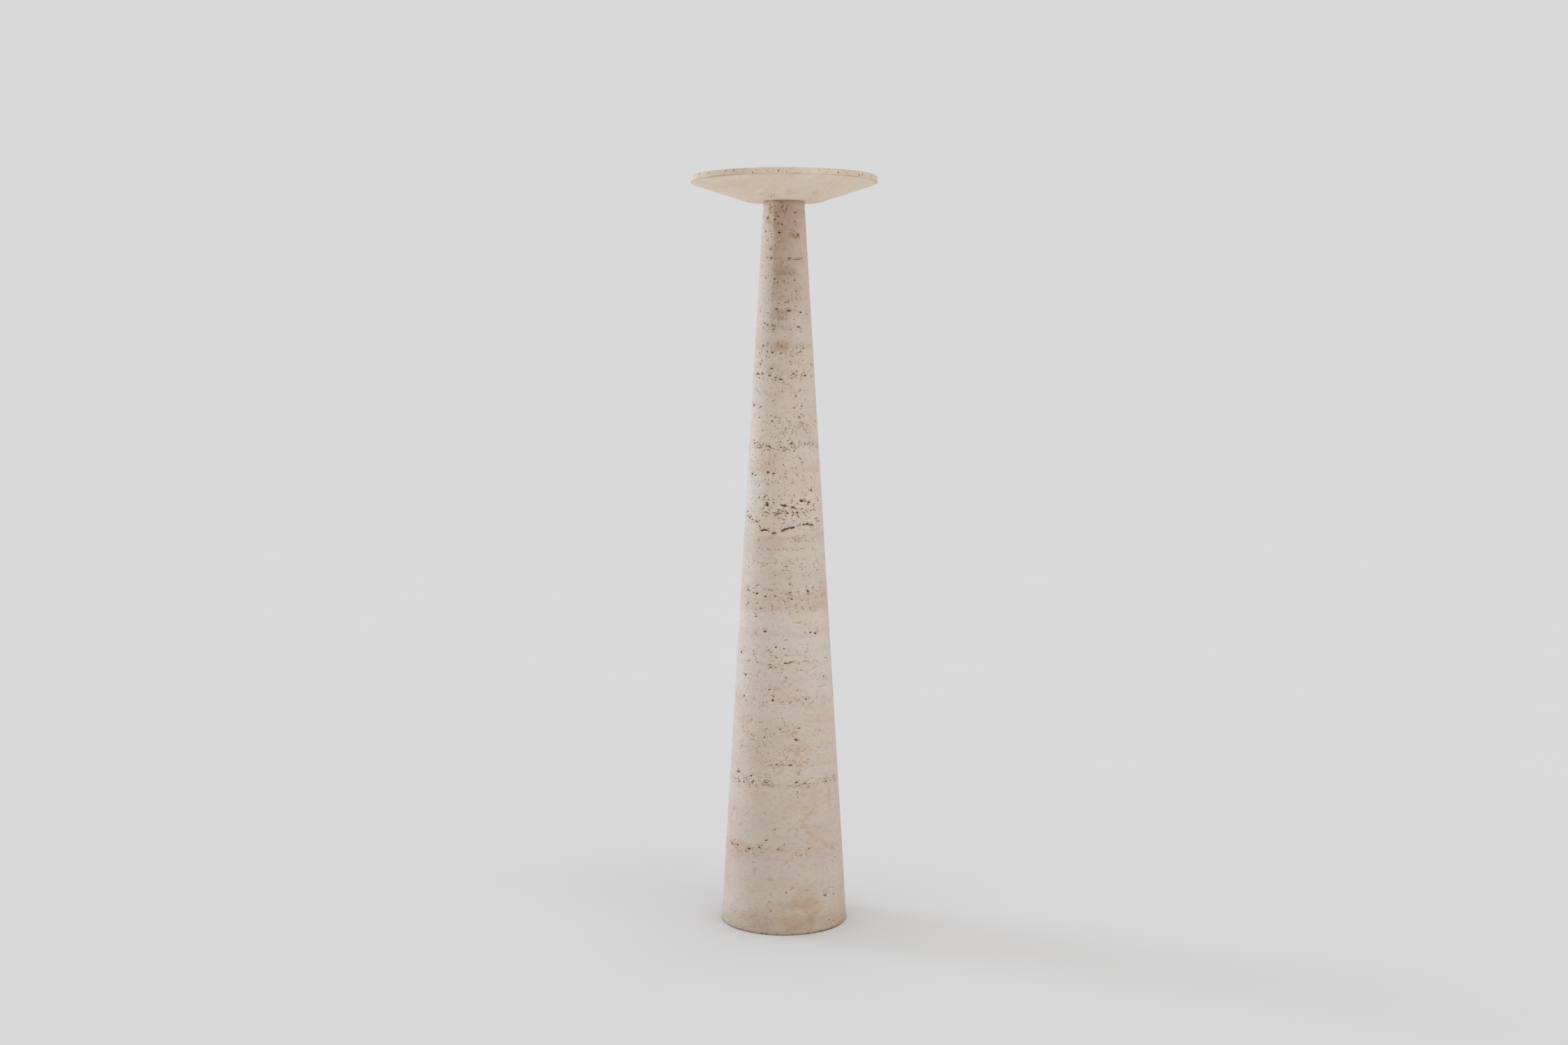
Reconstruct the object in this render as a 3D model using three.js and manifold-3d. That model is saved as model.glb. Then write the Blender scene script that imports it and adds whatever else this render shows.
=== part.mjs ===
// A travertine pedestal: a tall round shaft with a straight taper, and a flared round plate resting on it.
// Millimetres, +Z up. The origin is the centre of the foot, on the ground. Angle 0 faces -Y, the front,
// and angles grow towards +X.

import * as THREE from "three";
import { mergeVertices } from "three/addons/utils/BufferGeometryUtils.js";
import Module from "manifold-3d";

const wasm = await Module();
wasm.setup();

// Driving dimensions
const HEIGHT = 1250;
const FOOT_DIAMETER = 213;
const NECK_DIAMETER = 67.4;
const PLATE_DIAMETER = 309;
const SEAT_DIAMETER = 127;
const PLATE_THICKNESS = 40;
const RIM_HEIGHT = 10;
const FOOT_ARRIS = 1.2;
const RIM_ROUND = 1.2;
const SEAT_ROUND = 2;
const ROUND_STEPS = 2;
const FACETS = 64;

// Worked-out dimensions
const SHAFT_HEIGHT = HEIGHT - PLATE_THICKNESS;
const FOOT_RADIUS = FOOT_DIAMETER / 2;
const NECK_RADIUS = NECK_DIAMETER / 2;
const PLATE_RADIUS = PLATE_DIAMETER / 2;
const SEAT_RADIUS = SEAT_DIAMETER / 2;
const TAPER = (FOOT_RADIUS - NECK_RADIUS) / SHAFT_HEIGHT;

// The shaft's open beds: level layers where the stone has flat holes. Each has its height, how far its holes stray
// up and down, the angles of the holes that face the front half, how many more lie round the back, and a hole's
// usual length and opening.
const BEDS = [
  { height: 1181, stray: 6, front: [-49, -25, 30], behind: 3, length: 6, opening: 3.2 },
  { height: 1155, stray: 6, front: [-55, -12, 39], behind: 2, length: 6, opening: 3.6 },
  { height: 1115, stray: 2, front: [-32, 13, 38], behind: 3, length: 8, opening: 2.6 },
  { height: 1083, stray: 4, front: [-46, -22, 25], behind: 2, length: 7, opening: 3 },
  { height: 1029, stray: 5, front: [-16, 10, 38, 57], behind: 3, length: 8, opening: 3 },
  { height: 1005, stray: 3, front: [-36, -19, 30], behind: 2, length: 6, opening: 2.8 },
  { height: 938, stray: 4, front: [-24, 65], behind: 2, length: 10, opening: 2.6 },
  { height: 923, stray: 6, front: [-57, -28, -16, -6, 18, 43], behind: 4, length: 8, opening: 3 },
  { height: 808, stray: 4, front: [-57, -36, -25, -5, 12, 56], behind: 5, length: 8, opening: 3.4 },
  { height: 761, stray: 4, front: [-60, -51, -26, -16], behind: 4, length: 8, opening: 3.4 },
  { height: 711, stray: 7, front: [-26, -2, 13, 27, 40], behind: 5, length: 10, opening: 4.2 },
  { height: 564, stray: 8, front: [-56, -38, -25, 10, 33], behind: 5, length: 7, opening: 3.6 },
  { height: 498, stray: 5, front: [-24, 35, 43], behind: 2, length: 7, opening: 3.6 },
  { height: 452, stray: 2, front: [2, 62], behind: 2, length: 11, opening: 2.6 },
  { height: 388, stray: 4, front: [-53, -13], behind: 3, length: 7, opening: 3.8 },
  { height: 323, stray: 7, front: [-22, 13], behind: 2, length: 7, opening: 4.2 },
  { height: 283, stray: 2, front: [-8, 7], behind: 2, length: 9, opening: 2.6 },
  { height: 251, stray: 5, front: [-57, -47, -20, 13, 22, 50, 68], behind: 6, length: 8, opening: 3.2 },
  { height: 141, stray: 3, front: [-52, -36, -25, 25], behind: 4, length: 9, opening: 3.4 },
  { height: 59, stray: 4, front: [42, 54], behind: 2, length: 7, opening: 3.2 },
];
const BACK_STARTS = 80;
const BACK_ENDS = 280;

// One bed has parted into a crack that rises and falls round the shaft.
const CRACK = { height: 676, swing: 8, waves: 3, lowest: -12, pieces: 21, length: 16, opening: 3.6 };

// Holes in the plate's rim.
const RIM_HOLES = { holes: 17, first: -31, length: 4.5, opening: 3.6 };

// How holes vary. Each ratio steps through fractions of one without repeating, so a row looks scattered.
const ANGLE_RATIO = 0.618034;
const HEIGHT_RATIO = 0.754878;
const SIZE_RATIO = 0.56984;
const SMALLEST_SHARE = 0.75;
const LARGEST_SHARE = 1.25;
const MOST_TILT = 14;
const DEPTH_PER_OPENING = 0.8;

const stone = (name, color) => new THREE.MeshStandardMaterial({ name, color, roughness: 0.7, metalness: 0 });
const SHAFT_STONE = stone("shaft travertine", 0xcdbdac);
const PLATE_STONE = stone("plate travertine", 0xd0c0a8);

// The k-th fraction of a scattered series between 0 and 1.
function scatter(k, ratio) {
  return (k * ratio) % 1;
}

// The k-th value of a scattered series between two limits.
function scatterBetween(k, ratio, low, high) {
  return low + (high - low) * scatter(k, ratio);
}

// A closed three.js geometry as a solid.
function solidOf(geometry) {
  const bare = geometry.clone();
  bare.deleteAttribute("normal");
  bare.deleteAttribute("uv");
  const merged = mergeVertices(bare, 1e-4);
  const vertProperties = new Float32Array(merged.attributes.position.array);
  const triVerts = new Uint32Array(merged.index.array);
  return new wasm.Manifold(new wasm.Mesh({ numProp: 3, vertProperties, triVerts }));
}

// A solid as a three.js geometry.
function geometryOf(solid) {
  const { vertProperties, triVerts } = solid.getMesh();
  const geometry = new THREE.BufferGeometry();
  geometry.setAttribute("position", new THREE.BufferAttribute(vertProperties, 3));
  geometry.setIndex(new THREE.BufferAttribute(triVerts, 1));
  geometry.computeVertexNormals();
  return geometry;
}

// A profile of radius and height, from the axis at the bottom to the axis at the top, turned about Z.
function turned(profile) {
  return new THREE.LatheGeometry(profile, FACETS).rotateX(Math.PI / 2);
}

// The corner between two straight edges, rounded by a short curve that starts and ends at a setback from it.
function roundedCorner(before, corner, after, setback) {
  const start = corner.clone().lerp(before, setback / corner.distanceTo(before));
  const end = corner.clone().lerp(after, setback / corner.distanceTo(after));
  return new THREE.QuadraticBezierCurve(start, corner, end).getPoints(ROUND_STEPS);
}

// The shaft's radius at a height.
function shaftRadius(height) {
  return FOOT_RADIUS - TAPER * height;
}

// A flat hole's cutter: a squashed ball centred on the surface of a turned piece. Slope is how much the radius
// shrinks for each unit of height there, and tilt turns the hole on the surface, in degrees.
function holeCutter({ angle, height, radius, slope, length, opening, tilt }) {
  const turn = THREE.MathUtils.degToRad(angle);
  const outward = new THREE.Vector3(Math.sin(turn), -Math.cos(turn), slope).normalize();
  const sideways = new THREE.Vector3(Math.cos(turn), Math.sin(turn), 0);
  const upward = new THREE.Vector3().crossVectors(outward, sideways);
  const place = new THREE.Matrix4().makeBasis(sideways, upward, outward);
  place.setPosition(radius * Math.sin(turn), -radius * Math.cos(turn), height);
  place.multiply(new THREE.Matrix4().makeRotationZ(THREE.MathUtils.degToRad(tilt)));
  place.scale(new THREE.Vector3(length / 2, opening / 2, opening * DEPTH_PER_OPENING));
  return solidOf(new THREE.OctahedronGeometry(1, 1).applyMatrix4(place));
}

// A hole's cutter in the shaft's side.
function shaftHole({ angle, height, length, opening, tilt }) {
  const radius = shaftRadius(height);
  return holeCutter({ angle, height, radius, slope: TAPER, length, opening, tilt });
}

// The cutters of one open bed: the holes seen from the front, then the scattered ones behind.
function bedHoles({ height, stray, front, behind, length, opening }) {
  const back = Array.from({ length: behind }, (_, k) => {
    return scatterBetween(k + height, ANGLE_RATIO, BACK_STARTS, BACK_ENDS);
  });
  return [...front, ...back].map((angle, k) => {
    const share = scatterBetween(k + height, SIZE_RATIO, SMALLEST_SHARE, LARGEST_SHARE);
    return shaftHole({
      angle,
      height: height + scatterBetween(k + height, HEIGHT_RATIO, -stray, stray),
      length: length * share,
      opening: opening * share,
      tilt: scatterBetween(k + height, ANGLE_RATIO, -MOST_TILT, MOST_TILT),
    });
  });
}

// The cutters of the wavy crack: long flat holes end to end, each turned along the crack's slope.
function crackHoles({ height, swing, waves, lowest, pieces, length, opening }) {
  return Array.from({ length: pieces }, (_, k) => {
    const angle = lowest + (360 * k) / pieces;
    const phase = THREE.MathUtils.degToRad(waves * (angle - lowest));
    const rise = (swing * waves * Math.sin(phase)) / shaftRadius(height);
    return shaftHole({
      angle,
      height: height - swing * Math.cos(phase),
      length: length * scatterBetween(k, SIZE_RATIO, SMALLEST_SHARE, 1),
      opening,
      tilt: THREE.MathUtils.radToDeg(Math.atan(rise)),
    });
  });
}

// The cutters of the holes scattered round the plate's rim, in the plate's own frame.
function rimHoles({ holes, first, length, opening }) {
  return Array.from({ length: holes }, (_, k) => {
    const share = scatterBetween(k, SIZE_RATIO, LARGEST_SHARE, SMALLEST_SHARE);
    return holeCutter({
      angle: first + 360 * scatter(k, ANGLE_RATIO),
      height: PLATE_THICKNESS - RIM_HEIGHT * scatterBetween(k, HEIGHT_RATIO, 0.3, 0.9),
      radius: PLATE_RADIUS,
      slope: 0,
      length: length * share,
      opening: opening * share,
      tilt: scatterBetween(k, HEIGHT_RATIO, -90, 90),
    });
  });
}

// A turned piece with its holes cut, as a named mesh.
function turnedPiece(name, profile, cutters, material) {
  const body = solidOf(turned(profile));
  const cut = body.subtract(wasm.Manifold.union(cutters));
  const mesh = new THREE.Mesh(geometryOf(cut), material);
  mesh.name = name;
  return mesh;
}

// The shaft: a straight taper from the foot to the neck, with the foot's edge slightly worn.
function makeShaft() {
  const profile = [
    new THREE.Vector2(0, 0),
    new THREE.Vector2(FOOT_RADIUS - FOOT_ARRIS, 0),
    new THREE.Vector2(shaftRadius(FOOT_ARRIS), FOOT_ARRIS),
    new THREE.Vector2(NECK_RADIUS, SHAFT_HEIGHT),
    new THREE.Vector2(0, SHAFT_HEIGHT),
  ];
  const cutters = [...BEDS.flatMap(bedHoles), ...crackHoles(CRACK)];
  return turnedPiece("shaft", profile, cutters, SHAFT_STONE);
}

// The top plate: a flat seat, a flared underside, an upright rim and a flat top, with eased edges.
function makeTopPlate() {
  const seatCentre = new THREE.Vector2(0, 0);
  const seatEdge = new THREE.Vector2(SEAT_RADIUS, 0);
  const rimFoot = new THREE.Vector2(PLATE_RADIUS, PLATE_THICKNESS - RIM_HEIGHT);
  const rimTop = new THREE.Vector2(PLATE_RADIUS, PLATE_THICKNESS);
  const topCentre = new THREE.Vector2(0, PLATE_THICKNESS);
  const profile = [
    seatCentre,
    ...roundedCorner(seatCentre, seatEdge, rimFoot, SEAT_ROUND),
    ...roundedCorner(seatEdge, rimFoot, rimTop, RIM_ROUND),
    ...roundedCorner(rimFoot, rimTop, topCentre, RIM_ROUND),
    topCentre,
  ];
  return turnedPiece("top_plate", profile, rimHoles(RIM_HOLES), PLATE_STONE);
}

const pedestal = new THREE.Group();
const topPlate = makeTopPlate();
topPlate.position.z = SHAFT_HEIGHT;
pedestal.add(makeShaft(), topPlate);

export default pedestal;
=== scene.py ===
"""A travertine pedestal: a tall tapered shaft with a flared round plate resting on it.

Everything is in metres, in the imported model's frame: +Z is up, -Y is the front, the origin is the centre of
the foot on the floor. Holes and stains are placed and sized in millimetres. Angles round the axis are in
degrees, 0 at the front and growing towards +X.
"""

import logging
import math
import random
from dataclasses import dataclass, replace
from enum import Enum

import bmesh
import bpy
from mathutils import Color, Matrix, Vector


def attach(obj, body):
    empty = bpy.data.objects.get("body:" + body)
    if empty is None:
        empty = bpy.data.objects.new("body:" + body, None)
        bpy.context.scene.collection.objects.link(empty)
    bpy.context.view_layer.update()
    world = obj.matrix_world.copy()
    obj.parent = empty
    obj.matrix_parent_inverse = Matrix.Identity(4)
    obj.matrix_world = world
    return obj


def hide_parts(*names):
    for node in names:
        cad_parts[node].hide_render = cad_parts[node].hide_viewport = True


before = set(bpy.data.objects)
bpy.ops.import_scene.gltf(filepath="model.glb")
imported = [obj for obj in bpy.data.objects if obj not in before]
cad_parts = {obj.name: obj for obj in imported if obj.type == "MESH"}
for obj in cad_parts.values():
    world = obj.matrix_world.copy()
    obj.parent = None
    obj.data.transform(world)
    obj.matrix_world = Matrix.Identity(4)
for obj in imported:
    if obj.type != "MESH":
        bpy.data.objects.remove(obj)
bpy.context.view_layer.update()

LOG = logging.getLogger("pedestal")
MM = 0.001
BODY = "root"
FULL_TURN = 360
HALF_TURN = 180
QUARTER_TURN = 90
FULL_CHANNEL = 255

# Two limits, a ring's radius and height, and a hole's length and opening
Span = tuple[float, float]
Ring = tuple[float, float]
Size = tuple[float, float]
# A factor for each axis, and a colour's red, green and blue
Triple = tuple[float, float, float]
Shade = tuple[float, float, float]


def shade(red: int, green: int, blue: int) -> Shade:
    """The linear colour that a shader takes for one seen on a screen, with channels from 0 to 255."""
    seen = Color((red, green, blue)) / FULL_CHANNEL
    return tuple(seen.from_srgb_to_scene_linear())


class Output:
    """A node's output that takes part in Python arithmetic, each operation adding a Math node."""

    def __init__(self, graph: "Graph", socket: bpy.types.NodeSocket) -> None:
        """Wraps an output socket of one of a graph's nodes."""
        self.graph = graph
        self.socket = socket

    def maths(self, operation: str, *values: "Output | float") -> "Output":
        """Adds a Math node with an operation and its inputs in order."""
        return self.graph.out("ShaderNodeMath", {"operation": operation}, dict(enumerate(values)))

    def __add__(self, other: "Output | float") -> "Output":
        """This plus another."""
        return self.maths("ADD", self, other)

    def __radd__(self, other: float) -> "Output":
        """A number plus this."""
        return self.maths("ADD", other, self)

    def __sub__(self, other: "Output | float") -> "Output":
        """This less another."""
        return self.maths("SUBTRACT", self, other)

    def __rsub__(self, other: float) -> "Output":
        """A number less this."""
        return self.maths("SUBTRACT", other, self)

    def __mul__(self, other: "Output | float") -> "Output":
        """This times another."""
        return self.maths("MULTIPLY", self, other)

    def __rmul__(self, other: float) -> "Output":
        """A number times this."""
        return self.maths("MULTIPLY", other, self)

    def __gt__(self, other: "Output | float") -> "Output":
        """1 where this is above another, else 0."""
        return self.maths("GREATER_THAN", self, other)

    def __lt__(self, other: "Output | float") -> "Output":
        """1 where this is below another, else 0."""
        return self.maths("LESS_THAN", self, other)


class Axis(Enum):
    """A direction of the frame."""

    X = "X"
    Z = "Z"


class Graph:
    """A node tree written as Python calls and expressions."""

    def __init__(self, tree: bpy.types.NodeTree) -> None:
        """Starts an empty tree."""
        self.tree = tree
        tree.nodes.clear()

    def node(self, kind: str, settings: dict | None = None, sockets: dict | None = None) -> bpy.types.Node:
        """Adds any node.

        Args:
            kind: The node's type.
            settings: Its properties, set first. "stops" holds a colour ramp's positions and colours.
            sockets: Values, links or lists of links, by the input's name or number.

        Returns:
            The node.
        """
        made = self.tree.nodes.new(kind)
        for name, value in (settings or {}).items():
            if name == "stops":
                self.fill_ramp(made.color_ramp, value)
            else:
                setattr(made, name, value)
        for key, value in (sockets or {}).items():
            self.feed(made.inputs[key], value)
        return made

    def out(
        self,
        kind: str,
        settings: dict | None = None,
        sockets: dict | None = None,
        output: int | str = 0,
    ) -> Output:
        """Adds a node and gives one of its outputs, by the output's name or number."""
        return Output(self, self.node(kind, settings, sockets).outputs[output])

    def feed(self, target: bpy.types.NodeSocket, value: object) -> None:
        """Links an output, or each of a list of outputs, to an input, or sets the input's own value.

        Args:
            target: The input.
            value: What it gets.
        """
        if isinstance(value, list):
            for each in value:
                self.feed(target, each)
        elif isinstance(value, Output):
            self.tree.links.new(value.socket, target)
        elif isinstance(value, tuple) and target.type == "RGBA":
            target.default_value = (*value[:3], 1.0)
        else:
            target.default_value = value

    @staticmethod
    def fill_ramp(ramp: bpy.types.ColorRamp, stops: list[tuple[float, Shade]]) -> None:
        """Gives a colour ramp its stops.

        Args:
            ramp: The ramp.
            stops: The position and colour of each stop, in rising order of position.
        """
        while len(ramp.elements) < len(stops):
            ramp.elements.new(1.0)
        for element, (position, colour) in zip(ramp.elements, stops):
            element.position = position
            element.color = (*colour, 1.0)

    def length(self, vector: Output) -> Output:
        """A vector's length."""
        return self.out("ShaderNodeVectorMath", {"operation": "LENGTH"}, {0: vector}, output="Value")

    def part(self, vector: Output, axis: Axis) -> Output:
        """A vector's part along an axis."""
        return self.out("ShaderNodeSeparateXYZ", None, {0: vector}, output=axis.value)


class Blend(Enum):
    """How one colour is laid over another."""

    COVER = "MIX"
    TINT = "MULTIPLY"


class Paint(Graph):
    """A material's node tree, with the few steps that stone needs again and again."""

    CLOUD_ROUGHNESS = 0.55
    LAYER_ROUGHNESS = 0.6

    def __init__(self, name: str) -> None:
        """Starts a material.

        Args:
            name: The material's name.
        """
        self.material = bpy.data.materials.new(name)
        self.material.use_nodes = True
        super().__init__(self.material.node_tree)
        self.place = self.out("ShaderNodeTexCoord", output="Object")

    def noise(self, vector: Output, scale: float, detail: float = 3.0) -> Output:
        """A cloudy value round 0.5 that follows a vector, by its lumps per metre and its finer layers."""
        sockets = {"Vector": vector, "Scale": scale, "Detail": detail, "Roughness": self.CLOUD_ROUGHNESS}
        return self.out("ShaderNodeTexNoise", {"noise_dimensions": "3D"}, sockets)

    def layers(self, level: Output, scale: float, detail: float) -> Output:
        """A value round 0.5 that changes with one number only, such as a height."""
        sockets = {"W": level, "Scale": scale, "Detail": detail, "Roughness": self.LAYER_ROUGHNESS}
        return self.out("ShaderNodeTexNoise", {"noise_dimensions": "1D"}, sockets)

    def stray(self, scale: float, reach: float, detail: float = 3.0) -> Output:
        """A value round 0 that wanders over the surface, by its lumps per metre and its whole reach."""
        return (self.noise(self.place, scale, detail) - 0.5) * reach

    def rise(self, value: Output, low: float, high: float) -> Output:
        """0 below low, 1 above high and smooth between, or the other way round where low is above high."""
        settings = {"interpolation_type": "SMOOTHSTEP", "clamp": True}
        return self.out("ShaderNodeMapRange", settings, {"Value": value, 1: low, 2: high})

    def stretched(self, vector: Output, scale: Triple, turn: float = 0.0) -> Output:
        """A vector turned about the upright axis by an angle in degrees and then scaled, axis by axis.

        Args:
            vector: The vector.
            scale: The factor of each axis.
            turn: The angle.

        Returns:
            The new vector.
        """
        sockets = {"Vector": vector, "Rotation": (0.0, 0.0, math.radians(turn))}
        turned = self.out("ShaderNodeMapping", {"vector_type": "POINT"}, sockets)
        return self.out("ShaderNodeVectorMath", {"operation": "MULTIPLY"}, {0: turned, 1: scale})

    def mixed(
        self,
        factor: Output | float,
        first: Output | Shade,
        second: Output | Shade,
        blend: Blend = Blend.COVER,
    ) -> Output:
        """Lays a share of a second colour over a first."""
        settings = {"data_type": "RGBA", "blend_type": blend.value}
        return self.out("ShaderNodeMix", settings, {0: factor, 6: first, 7: second}, output=2)

    def tinted(self, factor: Output | float, colour: Output, tint: Shade) -> Output:
        """Multiplies a colour by a share of a tint."""
        return self.mixed(factor, colour, tint, Blend.TINT)

    def finish(
        self,
        colour: Output,
        roughness: Output,
        relief: Output,
        depth: float,
        gloss: float = 1.45,
    ) -> bpy.types.Material:
        """Ends the material.

        Args:
            colour: The surface's colour.
            roughness: Its roughness.
            relief: Its fine height, 0 to 1.
            depth: The height that 1 stands for, in metres.
            gloss: Its index of refraction, 1 for no gloss at all.

        Returns:
            The material.
        """
        bump = self.out("ShaderNodeBump", None, {"Strength": 1.0, "Distance": depth, "Height": relief})
        sockets = {"Base Color": colour, "Roughness": roughness, "Normal": bump, "IOR": gloss}
        surface = self.out("ShaderNodeBsdfPrincipled", None, sockets)
        self.node("ShaderNodeOutputMaterial", None, {"Surface": surface})
        return self.material


@dataclass(frozen=True)
class Pattern:
    """A natural pattern: its lumps per metre, the noise where it starts and is full, and its finer layers."""

    scale: float
    start: float
    full: float
    detail: float = 3.0

    def cloud(self, paint: Paint, place: Output) -> Output:
        """How strong the pattern is at each place, 0 to 1."""
        return paint.rise(paint.noise(place, self.scale, self.detail), self.start, self.full)

    def layer(self, paint: Paint, level: Output) -> Output:
        """How strong the pattern is at each level across the stone's layers, 0 to 1."""
        return paint.rise(paint.layers(level, self.scale, self.detail), self.start, self.full)


def round_direction(angle: float) -> Vector:
    """The level direction from the axis at an angle in degrees."""
    turn = math.radians(angle)
    return Vector((math.sin(turn), -math.cos(turn), 0.0))


def upward(height: float) -> Vector:
    """An upright vector of a length."""
    return Vector((0.0, 0.0, height))


@dataclass(frozen=True)
class Hole:
    """One flat hole in a turned face, in metres: its place, its way out of the stone and its size."""

    place: Vector
    outward: Vector
    sideways: Vector
    length: float
    opening: float
    depth: float
    ragged: bool

    def turned(self, tilt: float) -> "Hole":
        """The same hole turned on the surface by an angle in degrees."""
        spun = Matrix.Rotation(math.radians(tilt), 3, self.outward) @ self.sideways
        return replace(self, sideways=spun)


@dataclass(frozen=True)
class Taper:
    """The shaft's straight taper."""

    height: float = 1.21
    foot_radius: float = 0.1065
    neck_radius: float = 0.0337

    def radius(self, height: float) -> float:
        """The radius at a height."""
        return self.foot_radius + (self.neck_radius - self.foot_radius) * height / self.height

    def lean(self) -> float:
        """How much the radius shrinks for each unit of height."""
        return (self.foot_radius - self.neck_radius) / self.height


@dataclass(frozen=True)
class Saucer:
    """The plate's form: a flat seat on the shaft's top, a straight flare, an upright rim and a flat top."""

    bottom: float = Taper.height
    thickness: float = 0.04
    rim_height: float = 0.01
    seat_radius: float = 0.0635
    radius: float = 0.1545

    def top(self) -> float:
        """The height of the top face."""
        return self.bottom + self.thickness

    def rim_foot(self) -> float:
        """The height of the rim's lower edge."""
        return self.top() - self.rim_height


@dataclass(frozen=True)
class Bed:
    """An open bed of the shaft: a level layer with flat holes at angles in front and a number behind."""

    height: float
    stray: float
    front: tuple[float, ...]
    behind: int
    length: float
    opening: float


@dataclass(frozen=True)
class Void:
    """A single larger hole of the shaft: its place, its size, and how its length tilts from the level."""

    height: float
    angle: float
    length: float
    opening: float
    tilt: float = 0.0


@dataclass(frozen=True)
class CrackPiece:
    """One open piece of the crack, from an angle and height to another, with its opening."""

    start: float
    start_height: float
    end: float
    end_height: float
    opening: float

    def height(self, angle: float) -> float:
        """The piece's height at an angle."""
        share = (angle - self.start) / (self.end - self.start)
        return self.start_height + (self.end_height - self.start_height) * share


@dataclass(frozen=True)
class PoreBed:
    """A level layer of fine pores: its height and stray, the pores of a patch, the patches and a size."""

    height: float
    stray: float
    each: int
    front: tuple[float, ...]
    size: float = 1.0


@dataclass(frozen=True)
class PoreHabit:
    """How fine pores grow: the logarithm of their size, their extra length and how far they tilt.

    A power above 1 keeps most of them close to the level and lets a few stand up.
    """

    size_log: float
    longer: float
    tilt: float
    power: int


@dataclass(frozen=True)
class Tear:
    """How a larger hole is torn, in shares of its size: its middle and the small lobe on each side.

    Turn is how far a lobe turns, in degrees, and lowest is its least height, in millimetres.
    """

    middle: float = 0.8
    offset: Span = (0.22, 0.42)
    rise: float = 0.3
    length: Span = (0.28, 0.45)
    opening: Span = (0.4, 0.75)
    turn: float = 30.0
    lowest: float = 1.0


@dataclass(frozen=True)
class Scatter:
    """Fractions that never repeat, so that a row of holes looks scattered. The solids use the same ratios."""

    angle_ratio: float = 0.618034
    height_ratio: float = 0.754878
    size_ratio: float = 0.56984

    @staticmethod
    def between(step: float, ratio: float, low: float, high: float) -> float:
        """The value of one step of the series between two limits."""
        return low + (high - low) * ((step * ratio) % 1)


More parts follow.
